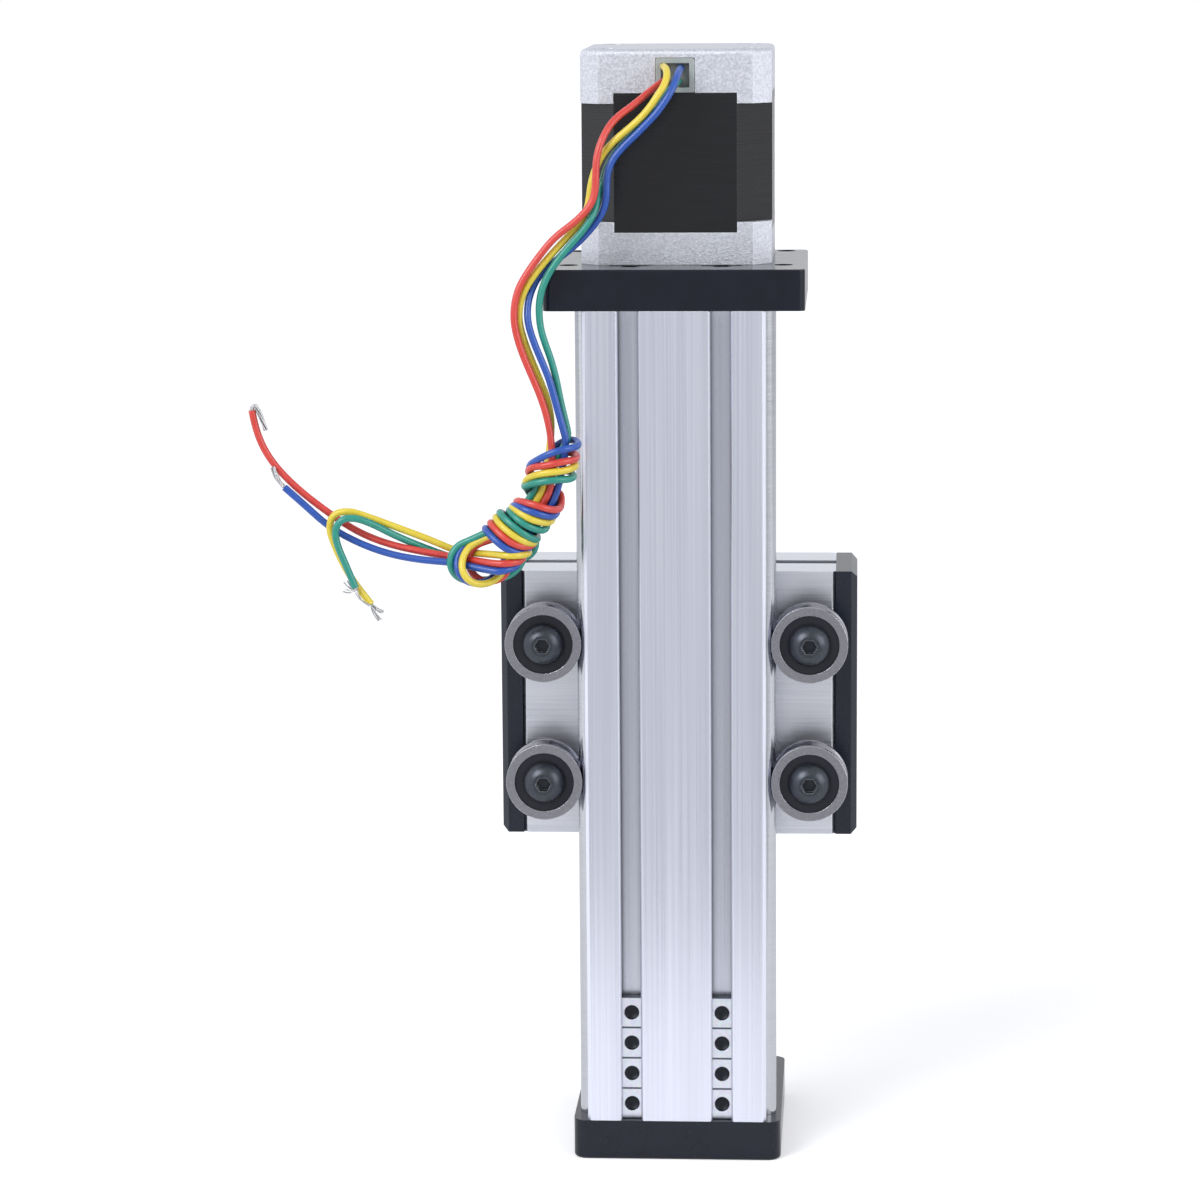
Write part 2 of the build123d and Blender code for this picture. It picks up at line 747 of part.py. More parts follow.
# Toothed rotor cups on both sides of the magnet
rotor_foot = front_cap_top + (stator_height - 2 * rotor_cup_length - magnet_length) / 2
with BuildPart() as rotor_cups:
    for cup, foot in enumerate((rotor_foot, rotor_foot + rotor_cup_length + magnet_length)):
        with BuildSketch(motor_plane.offset(foot)):
            Circle(rotor_diameter / 2)
            with PolarLocations(
                rotor_diameter / 2, rotor_teeth // 2, start_angle=cup * 180 / rotor_teeth
            ):
                Rectangle(2 * tooth_depth, tooth_gap_width, mode=Mode.SUBTRACT)
            Circle(motor_shaft_diameter / 2 + seat, mode=Mode.SUBTRACT)
        extrude(amount=rotor_cup_length)
save(rotor_cups.part, "rotor_cups")
with BuildPart() as rotor_magnet:
    with BuildSketch(motor_plane.offset(rotor_foot + rotor_cup_length)):
        Circle(magnet_diameter / 2)
        Circle(motor_shaft_diameter / 2 + seat, mode=Mode.SUBTRACT)
    extrude(amount=magnet_length)
save(rotor_magnet.part, "rotor_magnet")

# Carriage body: nut bore below, open channel above for the bearing block and coupling,
# a groove along both end faces, roller bolt holes, table holes and spigot holes
with BuildPart() as carriage_body:
    with BuildSketch(Plane.XY.offset(carriage_foot)):
        with Locations((0, carriage_mid_y)):
            Rectangle(2 * body_half_width, carriage_thickness)
    extrude(amount=carriage_length)
    side_edges = carriage_body.edges().filter_by(Axis.Z)
    chamfer(side_edges, carriage_chamfer)
    with BuildSketch(Plane.XY.offset(nut_top)):
        with Locations((0, carriage_near_y)):
            Rectangle(
                2 * channel_half_width, carriage_thickness - table_skin, align=(Align.CENTER, Align.MIN)
            )
    extrude(amount=carriage_top - nut_top, mode=Mode.SUBTRACT)
    with Locations(screw_plane.offset(nut_top)):
        Hole(nut_diameter / 2 + seat, nut_length)
    for level, way in ((carriage_foot, 1), (carriage_top, -1)):
        with BuildSketch(Plane.XY.offset(level)):
            with Locations((0, carriage_mid_y)):
                Rectangle(2 * body_half_width, end_groove_width)
        extrude(amount=way * end_groove_depth, mode=Mode.SUBTRACT)
    with Locations(*[facing_down(x, y, carriage_foot) for x, y in nut_holes]):
        Hole(m4_diameter / 2 + seat, m4_grip + free)
    with Locations(Plane(origin=(0, carriage_near_y, carriage_middle), x_dir=(1, 0, 0), z_dir=(0, -1, 0))):
        with GridLocations(2 * roller_x, roller_spacing, 2, 2):
            Hole(roller_bore / 2 + seat, bolt_grip + free)
    with Locations(facing_y(0, carriage_far_y, carriage_middle)):
        with GridLocations(table_hole_across, table_hole_along, 2, 2):
            Hole(table_hole_diameter / 2, table_hole_depth)
    for side in (-1, 1):
        flank = (side * body_half_width, carriage_mid_y, carriage_middle)
        with Locations(Plane(origin=flank, x_dir=(0, 1, 0), z_dir=(side, 0, 0))):
            with Locations((0, -spigot_offset), (0, spigot_offset)):
                Hole(spigot_diameter / 2 + seat, spigot_length + free)
save(carriage_body.part, "carriage_body")

# Moulded end caps with two spigots each
for side, name in ((-1, "end_cap_left"), (1, "end_cap_right")):
    cap_plane = Plane(
        origin=(side * body_half_width, carriage_mid_y, carriage_middle), x_dir=(0, 1, 0), z_dir=(side, 0, 0)
    )
    with BuildPart() as end_cap:
        with BuildSketch(cap_plane):
            Rectangle(carriage_thickness, carriage_length)
        extrude(amount=cap_thickness)
        outer_face = end_cap.faces().sort_by(Axis.X)[-1 if side > 0 else 0]
        chamfer(outer_face.edges(), cap_chamfer)
        with BuildSketch(cap_plane):
            with Locations((0, -spigot_offset), (0, spigot_offset)):
                Circle(spigot_diameter / 2)
        extrude(amount=-spigot_length)
    save(end_cap.part, name)

# Flanged ball nut, its flange cut to two flats beside the extrusion
with BuildPart() as ball_nut:
    with BuildSketch(screw_plane.offset(nut_foot)):
        Circle(nut_flange_diameter / 2)
        Rectangle(nut_flange_diameter, nut_flange_width, mode=Mode.INTERSECT)
    extrude(amount=nut_flange_thickness)
    with BuildSketch(screw_plane.offset(carriage_foot)):
        Circle(nut_diameter / 2)
    extrude(amount=nut_length)
    with Locations(screw_plane.offset(nut_top)):
        Hole(screw_diameter / 2 + free)
        Hole(wiper_diameter / 2, wiper_thickness)
    with Locations(facing_down(0, screw_y, nut_foot)):
        Hole(wiper_diameter / 2, wiper_thickness)
    with Locations(*[facing_down(x, y, nut_foot) for x, y in nut_holes]):
        Hole(m4_diameter / 2 + free, nut_flange_thickness)
save(ball_nut.part, "ball_nut")

# Wipers in both ends of the nut
with BuildPart() as nut_wipers:
    for foot in (nut_foot, nut_top - wiper_thickness):
        with BuildSketch(screw_plane.offset(foot)):
            Circle(wiper_diameter / 2 - running)
            Circle(screw_diameter / 2 + free, mode=Mode.SUBTRACT)
        extrude(amount=wiper_thickness)
save(nut_wipers.part, "nut_wipers")
nut_planes = [facing_down(x, y, nut_foot) for x, y in nut_holes]
save(
    cap_screws(nut_planes, m4_diameter, m4_head, m4_head_height, nut_flange_thickness + m4_grip),
    "nut_screws",
)

# Roller outer rings with the groove that runs on the shaft, and their two seals
groove_radius = shaft_diameter / 2 + shaft_groove_clearance
groove_reach = roller_x - shaft_x
rim = roller_diameter / 2
groove_half = math.sqrt(groove_radius**2 - (groove_reach - rim) ** 2)
half = roller_width / 2
for name, (x, z) in roller_places.items():
    turned = Plane(origin=(x, shaft_y, z))
    spin = Axis((x, shaft_y, z), (0, 1, 0))
    with BuildPart() as ring:
        with BuildSketch(turned):
            with BuildLine():
                Line((seal_seat_diameter / 2, -half), (rim, -half))
                Line((rim, -half), (rim, -groove_half))
                RadiusArc((rim, -groove_half), (rim, groove_half), groove_radius)
                Line((rim, groove_half), (rim, half))
                Line((rim, half), (seal_seat_diameter / 2, half))
                Line((seal_seat_diameter / 2, half), (seal_seat_diameter / 2, half - seal_seat_depth))
                Line(
                    (seal_seat_diameter / 2, half - seal_seat_depth),
                    (race_diameter / 2, half - seal_seat_depth),
                )
                Line((race_diameter / 2, half - seal_seat_depth), (race_diameter / 2, seal_seat_depth - half))
                Line(
                    (race_diameter / 2, seal_seat_depth - half),
                    (seal_seat_diameter / 2, seal_seat_depth - half),
                )
                Line((seal_seat_diameter / 2, seal_seat_depth - half), (seal_seat_diameter / 2, -half))
            make_face()
        revolve(axis=spin)
    save(ring.part, "roller_ring_" + name)
    with BuildPart() as seals:
        for level in (seal_recess - half, half - seal_recess - seal_thickness):
            with BuildSketch(facing_y(x, shaft_y + level, z)):
                Circle(seal_seat_diameter / 2 - running)
                Circle(inner_ring_diameter / 2 + free, mode=Mode.SUBTRACT)
            extrude(amount=seal_thickness)
    save(seals.part, "roller_seals_" + name)

# Inner rings, bushes and button head bolts that carry the rollers
with BuildPart() as inner_rings:
    for x, z in roller_places.values():
        with BuildSketch(facing_y(x, roller_near_y, z)):
            Circle(inner_ring_diameter / 2)
            Circle(roller_bore / 2 + running, mode=Mode.SUBTRACT)
        extrude(amount=roller_width)
save(inner_rings.part, "roller_inner_rings")
with BuildPart() as plain_bushes:
    for name in ("upper_left", "lower_left"):
        x, z = roller_places[name]
        with BuildSketch(facing_y(x, roller_far_y, z)):
            Circle(bush_diameter / 2)
            Circle(roller_bore / 2 + running, mode=Mode.SUBTRACT)
        extrude(amount=bush_length)
save(plain_bushes.part, "plain_bushes")
with BuildPart() as eccentric_bushes:
    for name in ("upper_right", "lower_right"):
        x, z = roller_places[name]
        with BuildSketch(facing_y(x + eccentric_shift, roller_far_y, z)):
            Circle(bush_diameter / 2 + eccentric_shift / 2)
        extrude(amount=bush_length)
        with BuildSketch(facing_y(x + eccentric_shift, carriage_near_y - eccentric_hex_length, z)):
            RegularPolygon(eccentric_hex / 2, 6, major_radius=False)
        extrude(amount=eccentric_hex_length)
        with BuildSketch(facing_y(x, roller_far_y, z)):
            Circle(roller_bore / 2 + running)
        extrude(amount=bush_length, mode=Mode.SUBTRACT)
save(eccentric_bushes.part, "eccentric_bushes")
with BuildPart() as roller_bolts:
    for x, z in roller_places.values():
        with BuildSketch(Plane(origin=(x, roller_near_y, z))):
            with BuildLine():
                Line((0, -bolt_head_height), (bolt_flat_diameter / 2, -bolt_head_height))
                ThreePointArc(
                    (bolt_flat_diameter / 2, -bolt_head_height),
                    (bolt_head_diameter / 2 * bolt_crown_across, -bolt_head_height * bolt_crown_up),
                    (bolt_head_diameter / 2, 0),
                )
                Line((bolt_head_diameter / 2, 0), (roller_bore / 2, 0))
                Line((roller_bore / 2, 0), (roller_bore / 2, roller_width + bush_length + bolt_grip))
                Line(
                    (roller_bore / 2, roller_width + bush_length + bolt_grip),
                    (0, roller_width + bush_length + bolt_grip),
                )
                Line((0, roller_width + bush_length + bolt_grip), (0, -bolt_head_height))
            make_face()
        revolve(axis=Axis((x, roller_near_y, z), (0, 1, 0)))
        with BuildSketch(facing_y(x, roller_near_y - bolt_head_height, z)):
            RegularPolygon(bolt_hex / 2, 6, major_radius=False)
        extrude(amount=bolt_hex_depth, mode=Mode.SUBTRACT)
save(roller_bolts.part, "roller_bolts")

# Square nuts stacked in the foot of each slot
nut_back_y = near_y + slot_lip + square_nut_play
for side, name in ((-1, "square_nuts_left"), (1, "square_nuts_right")):
    with BuildPart() as square_nuts:
        for step in range(square_nuts_in_slot):
            middle = profile_foot + (step + 0.5) * square_nut_side + step * square_nut_gap
            with BuildSketch(facing_y(side * slot_spacing / 2, nut_back_y, middle)):
                Rectangle(square_nut_side, square_nut_side)
                Circle(square_nut_bore / 2, mode=Mode.SUBTRACT)
            extrude(amount=square_nut_thickness)
    save(square_nuts.part, name)


def wire(route):
    """A wire's tube: straight runs joined by arcs as large as the runs allow."""
    radii = []
    for before, here, after in zip(route, route[1:], route[2:]):
        into = Vector(*here) - Vector(*before)
        out = Vector(*after) - Vector(*here)
        half_turn = math.radians(into.get_angle(out) / 2)
        radii.append(wire_arc_share * min(into.length, out.length) / math.tan(half_turn))
    with BuildPart() as tube:
        with BuildLine() as path:
            FilletPolyline(*route, radius=radii)
        middle_line = path.wire()
        with BuildSketch(Plane(origin=middle_line @ 0, z_dir=middle_line % 0)):
            Circle(wire_diameter / 2)
        sweep(path=middle_line)
    expected = math.pi * wire_diameter**2 / 4 * middle_line.length
    print(
        "length", round(middle_line.length, 1),
        "smallest radius", round(min(radii), 1),
        "volume share", round(tube.part.volume / expected, 4),
    )
    return tube.part


# Routes of the four wires from the outlet's floor to the hank
outlet_floor_y = motor_near_y + outlet_depth - free - outlet_floor
lead_routes = {
    "red": [
        (-2.1, outlet_floor_y, 240.3), (-2.1, -17.2, 240.3), (-4.7, -21.4, 238.2), (-9.4, -23.2, 234.4),
        (-13.4, -24.0, 230.7), (-15.9, -24.6, 224.6), (-16.7, -25.2, 218.0), (-20.6, -26.3, 211.6),
        (-26.0, -28.0, 206.7), (-31.6, -29.4, 200.0), (-34.2, -31.0, 192.6), (-33.6, -32.4, 185.0),
        (-30.8, -32.5, 177.8), (-27.9, -32.5, 170.8), (-26.3, -32.5, 163.5),
    ],
    "yellow": [
        (-1.5, outlet_floor_y, 243.0), (-1.5, -18.4, 243.0), (-3.0, -23.6, 240.8), (-6.8, -25.6, 235.6),
        (-12.4, -26.2, 229.4), (-16.3, -27.2, 223.2), (-18.3, -28.2, 215.6), (-23.2, -29.7, 208.4),
        (-28.8, -30.9, 201.9), (-32.0, -31.0, 194.6), (-32.2, -30.6, 187.2), (-30.0, -30.5, 180.0),
        (-27.4, -30.5, 173.4), (-26.2, -30.6, 166.5),
    ],
    "blue": [
        (1.5, outlet_floor_y, 242.4), (1.5, -18.0, 242.4), (0.2, -23.0, 239.8), (-3.6, -25.4, 234.0),
        (-8.6, -26.4, 228.7), (-13.3, -27.2, 222.8), (-14.9, -28.0, 216.0), (-18.0, -29.2, 209.2),
        (-24.0, -30.5, 203.4), (-29.3, -31.9, 197.2), (-30.9, -32.5, 190.4), (-28.9, -32.5, 183.2),
        (-26.0, -32.5, 176.4), (-24.0, -32.5, 169.6), (-23.0, -32.5, 162.8),
    ],
    "green": [
        (0.7, outlet_floor_y, 240.0), (0.7, -17.2, 240.0), (-1.0, -21.5, 237.6), (-4.9, -23.2, 233.2),
        (-9.6, -24.0, 228.2), (-13.3, -24.6, 222.4), (-14.5, -25.6, 216.0), (-17.3, -27.0, 209.8),
        (-22.4, -28.3, 204.5), (-27.0, -29.5, 198.8), (-28.7, -30.3, 191.6), (-27.4, -30.6, 184.4),
        (-25.2, -30.6, 177.2), (-23.9, -30.6, 170.0), (-22.4, -30.6, 163.0),
    ],
}
for colour, route in lead_routes.items():
    save(wire(route), "lead_" + colour)

# Tails of the four wires beyond the hank
tail_routes = {
    "red": [
        (-48.0, -31.4, 137.6), (-55.0, -31.4, 138.8), (-62.6, -31.4, 140.3), (-69.6, -31.4, 143.0),
        (-76.4, -31.4, 147.6), (-83.2, -31.4, 153.0), (-88.6, -31.4, 159.0), (-91.6, -31.4, 165.6),
        (-92.0, -31.4, 171.0),
    ],
    "yellow": [
        (-47.5, -29.7, 138.6), (-53.6, -29.7, 141.3), (-60.2, -29.7, 143.9), (-66.6, -29.7, 146.6),
        (-70.8, -29.7, 148.1), (-74.3, -29.7, 147.4), (-75.6, -29.7, 144.2), (-74.9, -29.7, 140.0),
        (-72.9, -29.7, 135.4), (-69.6, -29.7, 131.2), (-66.2, -29.7, 127.4),
    ],
    "blue": [
        (-48.0, -33.1, 136.7), (-55.4, -33.1, 137.2), (-62.4, -33.1, 138.4), (-69.2, -33.1, 140.8),
        (-75.4, -33.1, 144.2), (-80.6, -33.1, 149.2), (-84.9, -33.1, 153.4),
    ],
    "green": [
        (-47.8, -28.0, 136.6), (-54.4, -28.0, 139.1), (-61.0, -28.0, 141.8), (-66.6, -28.0, 144.4),
        (-70.3, -28.0, 146.0), (-73.4, -28.0, 145.2), (-74.2, -28.0, 142.0), (-73.1, -28.0, 138.0),
        (-71.6, -28.0, 133.9), (-70.5, -28.0, 130.0),
    ],
}
for colour, route in tail_routes.items():
    save(wire(route), "tail_" + colour)

# Tinned ends, each going on straight from its wire
with BuildPart() as tinned_tips:
    for route in tail_routes.values():
        last_run = Vector(*route[-1]) - Vector(*route[-2])
        with BuildSketch(Plane(origin=route[-1], z_dir=last_run)):
            Circle(tip_diameter / 2)
        extrude(amount=tip_length)
save(tinned_tips.part, "tinned_tips")

# Hank: the outer shape of the wound wires, thin at its top and full in the middle
hank_sections = [
    ((-24.8, -31.8, 167.6), 3.0),
    ((-25.2, -31.9, 162.6), 4.6),
    ((-26.2, -32.1, 156.6), 5.4),
    ((-29.0, -32.3, 150.2), 5.6),
    ((-34.2, -32.4, 144.2), 5.6),
    ((-40.2, -32.4, 139.6), 5.6),
    ((-45.6, -32.4, 137.3), 4.8),
    ((-49.8, -32.2, 136.8), 3.6),
]
with BuildPart() as lead_hank:
    for place, (middle, radius) in enumerate(hank_sections):
        before = Vector(*hank_sections[max(place - 1, 0)][0])
        after = Vector(*hank_sections[min(place + 1, len(hank_sections) - 1)][0])
        with BuildSketch(Plane(origin=middle, z_dir=after - before)):
            Circle(radius)
    loft()
save(lead_hank.part, "lead_hank")
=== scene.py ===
# %% [markdown]
# # A ball screw linear module
#
# This lesson dresses a compact actuator. A stepper motor on top turns a ball screw, and the
# screw moves a carriage that rolls on two round steel shafts along an aluminium base. The
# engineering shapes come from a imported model, which is loaded as a fixed frame. What is made
# here is what the eye needs beyond it: anodising, brushing, castings, laminations, the ball
# track, and four thin wires that are wound into a small hank.

# %% Loading the frame
import math

import bmesh
import bpy
from mathutils import Matrix, Vector


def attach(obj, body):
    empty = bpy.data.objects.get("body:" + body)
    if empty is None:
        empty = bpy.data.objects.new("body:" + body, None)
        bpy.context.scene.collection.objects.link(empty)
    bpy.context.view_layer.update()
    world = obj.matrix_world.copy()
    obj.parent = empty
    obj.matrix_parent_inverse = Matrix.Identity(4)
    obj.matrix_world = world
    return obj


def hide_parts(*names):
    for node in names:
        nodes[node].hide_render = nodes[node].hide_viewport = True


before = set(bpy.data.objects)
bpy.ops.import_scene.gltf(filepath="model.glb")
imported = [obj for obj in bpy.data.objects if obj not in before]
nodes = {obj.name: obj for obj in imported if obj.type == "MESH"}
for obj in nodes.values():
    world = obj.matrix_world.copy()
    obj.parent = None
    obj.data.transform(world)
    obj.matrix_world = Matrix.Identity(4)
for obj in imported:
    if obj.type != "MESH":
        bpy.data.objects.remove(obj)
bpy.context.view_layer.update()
mm = 0.001

# %% [markdown]
# ## The camera
#
# The module stands upright and is seen from its slotted side. The lens is long and stands
# nearly a metre away, a little above the middle, so the top faces of the plates show as thin
# bands. Turning a camera by its heading, its downward tilt and its roll, one after the other,
# keeps each angle readable. That is why the three rotations are multiplied here.

# %% Camera
sensor_width = 36
focal_length = 121.36
camera_place = Vector((39.36, -901.46, 274.74)) * mm
heading = math.radians(3.65)
tilt_down = math.radians(9.54)
roll = math.radians(-0.42)

lens = bpy.data.cameras.new("camera")
lens.sensor_width = sensor_width
lens.lens = focal_length
lens.clip_start = 10 * mm
lens.clip_end = 20
camera = bpy.data.objects.new("camera", lens)
bpy.context.scene.collection.objects.link(camera)
camera.matrix_world = (
    Matrix.Translation(camera_place)
    @ Matrix.Rotation(heading, 4, "Z")
    @ Matrix.Rotation(math.pi / 2 - tilt_down, 4, "X")
    @ Matrix.Rotation(roll, 4, "Z")
)
bpy.context.scene.camera = camera
print("camera", round(camera_place.length, 3), "m from the foot")

# %% [markdown]
# ## The routes of the wires
#
# Four limp PVC wires leave the motor side by side, sag along it and reach a small hank. Each
# wire is one smooth curve from the outlet to its tinned end, and a NURBS curve is the natural
# choice, because it glides past its control points as a limp wire does. The points here are
# given in millimetres: x to the right, y away from the viewer, z up.

# %% Leads from the motor to the hank
outlet_floor_y = -13.2
lead_routes = {
    "red": [
        (-2.1, outlet_floor_y, 240.3), (-2.1, -17.2, 240.3), (-4.3, -21.2, 238.9), (-8.7, -23.4, 235.2),
        (-11.1, -24.4, 233.6), (-13.2, -25.5, 231.7), (-14.6, -26.6, 229.5), (-15.7, -27.6, 227.0),
        (-16.4, -28.2, 224.2), (-16.6, -28.4, 221.0), (-16.6, -28.5, 218.0), (-17.2, -28.7, 215.1),
        (-18.8, -29.1, 212.7), (-21.4, -29.6, 210.3), (-24.3, -29.9, 208.2), (-26.4, -30.3, 206.3),
        (-28.9, -30.8, 203.2), (-31.3, -31.4, 199.9), (-33.3, -31.9, 196.5), (-34.2, -32.3, 192.9),
        (-34.3, -32.5, 189.1), (-33.5, -32.5, 185.3), (-32.2, -32.5, 181.5), (-30.6, -32.5, 177.7),
        (-29.0, -32.5, 173.9), (-27.5, -32.5, 169.5), (-26.3, -32.5, 163.5),
    ],
    "yellow": [
        (-2.6, outlet_floor_y, 243.2), (-2.4, -17.0, 243.3), (-1.6, -20.6, 242.9), (-1.3, -23.2, 241.4),
        (-1.9, -24.7, 239.5), (-3.3, -25.3, 237.4), (-4.9, -25.4, 235.0), (-7.0, -25.4, 232.6),
        (-9.6, -25.3, 230.3), (-12.2, -25.2, 228.2), (-14.4, -25.3, 226.0), (-16.0, -25.6, 223.6),
        (-17.1, -25.9, 221.0), (-17.8, -26.1, 218.3), (-18.1, -26.3, 215.8), (-18.5, -26.5, 213.4),
        (-19.6, -26.9, 211.0), (-21.4, -27.5, 208.7), (-24.4, -28.5, 205.6), (-27.2, -29.4, 202.6),
        (-30.0, -30.3, 199.2), (-32.2, -30.7, 195.8), (-33.3, -30.8, 192.2), (-33.3, -30.8, 188.9),
        (-32.3, -30.8, 185.1), (-30.7, -30.7, 180.8), (-28.9, -30.6, 176.4), (-27.4, -30.6, 172.6),
        (-26.2, -30.6, 166.5),
    ],
    "blue": [
        (1.2, outlet_floor_y, 242.8), (1.2, -17.6, 242.8), (0.8, -22.0, 241.6), (-0.1, -24.6, 238.8),
        (-1.7, -25.4, 236.2), (-3.6, -25.6, 233.6), (-5.8, -25.7, 231.3), (-8.2, -25.8, 228.9),
        (-10.7, -25.9, 226.6), (-12.8, -26.1, 224.2), (-14.0, -26.3, 221.8), (-14.4, -26.4, 219.0),
        (-14.4, -26.4, 216.2), (-14.8, -26.2, 213.7), (-15.8, -26.0, 211.5), (-17.7, -26.1, 209.0),
        (-20.8, -26.5, 205.7), (-24.1, -27.3, 203.1), (-26.9, -27.9, 201.1), (-29.0, -28.5, 198.9),
        (-30.6, -29.2, 196.1), (-31.5, -30.3, 192.7), (-31.4, -31.4, 189.0), (-30.1, -32.1, 184.9),
        (-28.4, -32.4, 180.9), (-26.8, -32.5, 177.0), (-25.8, -32.5, 173.3), (-24.8, -32.5, 169.5),
        (-23.9, -32.5, 166.2), (-23.0, -32.5, 162.8),
    ],
    "green": [
        (0.7, outlet_floor_y, 240.0), (0.7, -17.2, 240.0), (-0.3, -20.9, 239.2), (-1.7, -22.8, 237.0),
        (-3.8, -23.4, 234.4), (-6.2, -23.6, 231.7), (-8.8, -23.8, 229.0), (-11.3, -23.9, 226.6),
        (-13.3, -24.1, 224.2), (-14.5, -24.3, 221.8), (-15.2, -24.6, 219.3), (-16.0, -25.2, 217.1),
        (-16.5, -26.4, 215.0), (-16.9, -27.5, 212.9), (-17.9, -28.3, 210.8), (-19.9, -29.0, 208.0),
        (-23.0, -29.5, 204.7), (-25.7, -29.9, 201.3), (-27.6, -30.2, 198.1), (-28.7, -30.5, 194.8),
        (-29.0, -30.7, 191.6), (-28.7, -30.8, 187.8), (-27.7, -30.8, 184.4), (-26.4, -30.7, 180.8),
        (-25.3, -30.6, 176.4), (-24.5, -30.6, 172.0), (-23.6, -30.6, 168.1), (-22.4, -30.6, 163.0),
    ],
}
print("leads of", {colour: len(route) for colour, route in lead_routes.items()}, "points")

# %% [markdown]
# Beyond the hank the four tails run on to the left. Red and blue rise in one long sweep, while
# yellow and green go over a crest together and hang down from it. The points stand closer at
# the crest, because the curve rounds off any corner whose points are far apart.

# %% Tails beyond the hank
tail_routes = {
    "red": [
        (-48.0, -31.4, 137.6), (-55.0, -31.4, 138.8), (-62.6, -30.6, 140.3), (-69.6, -29.9, 143.0),
        (-76.4, -29.8, 147.6), (-83.2, -29.8, 153.0), (-88.6, -29.8, 159.0), (-91.4, -30.2, 165.4),
        (-92.0, -30.5, 169.8),
    ],
    "yellow": [
        (-47.5, -29.7, 138.6), (-53.6, -29.8, 141.3), (-60.2, -30.6, 143.9), (-66.6, -32.2, 146.6),
        (-70.8, -33.0, 148.1), (-74.3, -33.2, 147.4), (-75.3, -33.2, 144.2), (-73.9, -33.2, 140.0),
        (-71.8, -33.2, 135.4), (-69.2, -33.2, 131.2), (-66.2, -33.2, 127.4),
    ],
    "blue": [
        (-48.0, -33.1, 136.7), (-55.4, -32.8, 137.2), (-62.4, -32.2, 138.4), (-69.2, -31.6, 140.8),
        (-75.4, -31.5, 144.2), (-80.6, -31.5, 149.0), (-85.1, -31.5, 153.0),
    ],
    "green": [
        (-47.8, -28.0, 136.6), (-54.6, -28.8, 139.2), (-60.6, -31.5, 142.2), (-66.0, -33.8, 145.5),
        (-69.4, -34.8, 146.8), (-72.3, -35.1, 146.5), (-73.7, -35.1, 144.2), (-73.3, -35.1, 140.9),
        (-71.4, -35.1, 136.4), (-69.4, -35.1, 131.4),
    ],
}
print("tails of", {colour: len(route) for colour, route in tail_routes.items()}, "points")

# %% [markdown]
# ## The hank
#
# To keep the long ends tidy someone ran the wires down, turned them back in a loop, wrapped
# them three times round themselves and tucked the ends through the loop. The turns come from
# a formula: a middle line, a side distance across it and a front distance towards the viewer.
# A wire then says only how far along the hank each of its turns crosses the front.

# %% The hank's middle line
hank_y = -32.4
hank_line = [
    (-25.4, 163.5), (-26.1, 158.0), (-27.7, 151.9), (-30.8, 147.3), (-34.5, 142.9), (-37.9, 139.3),
    (-41.4, 136.7), (-45.6, 135.5),
]


def beside_hank(run, side, front):
    """The point that lies run millimetres along the hank, side across it and front before it."""
    stations = [Vector(station) for station in hank_line]
    for here, there in zip(stations, stations[1:]):
        length = (there - here).length
        if run <= length or there is stations[-1]:
            break
        run -= length
    along = (there - here) / length
    x, z = here + along * run + Vector((along.y, -along.x)) * side
    return (x, hank_y - front, z)


print("hank from", beside_hank(0, 0, 0), "to its first turn", beside_hank(5, 0, 0))

# %% [markdown]
# Each wire goes down the core in a front layer, turns round in its own loop at the left end
# and comes back in a rear layer. Then it wraps the core: a turn position counts from the right
# side of the first turn, and twelve or more points make each turn. The crossings of the turns
# are read off in pairs of turn position and run, and the run between them is in proportion.

# %% Core, loop and turns of one wire
core_side = {"green": 2.4, "yellow": 0.8, "red": -0.8, "blue": -2.4}
core_front = {"green": 0.9, "yellow": 0.9, "red": 0.9, "blue": 0.2}
loop_middle = {"green": -44.0, "blue": -42.5, "yellow": -41.3, "red": -40.2}
loop_front = {"green": 2.4, "blue": 4.2, "yellow": 5.4, "red": 0.4}
loop_z = 136.8
loop_radius = 4.7
loop_start = 100
loop_back = 2.6
loop_points = 10
loop_end = {"green": 285, "blue": 350, "yellow": 350, "red": 350}
back_side = {"green": -1.4, "yellow": 0.8, "red": -0.6, "blue": -2.0}
turn_crossings = {
    "blue": (1.5, 16.1, 26.3),
    "red": (4.3, 14.4, 24.6),
    "yellow": (6.1, 17.8, 22.9),
    "green": (8.0, 19.5, 21.2),
}
turn_front = 4.6
turn_lag = 1.6
turn_first = -0.12
turn_last = {"blue": 3, "red": 3, "yellow": 3, "green": 2.75}
points_per_turn = 14


def between(pairs, position):
    """The value at a position, in proportion between the two pairs that hold it."""
    for (low, value_low), (high, value_high) in zip(pairs, pairs[1:]):
        if position <= high:
            break
    return value_low + (value_high - value_low) * (position - low) / (high - low)


def loop_route(colour):
    """The loop at the left end, from the front of the core round to its back."""
    points = []
    for place in range(loop_points):
        share = place / (loop_points - 1)
        angle = math.radians(loop_start + (loop_end[colour] - loop_start) * share)
        x = loop_middle[colour] + loop_radius * math.cos(angle)
        z = loop_z + loop_radius * math.sin(angle)
        level = core_front[colour] * (1 - share) - loop_back * share
        points.append((x, hank_y - level - loop_front[colour] * math.sin(math.pi * share) ** 2, z))
    return points


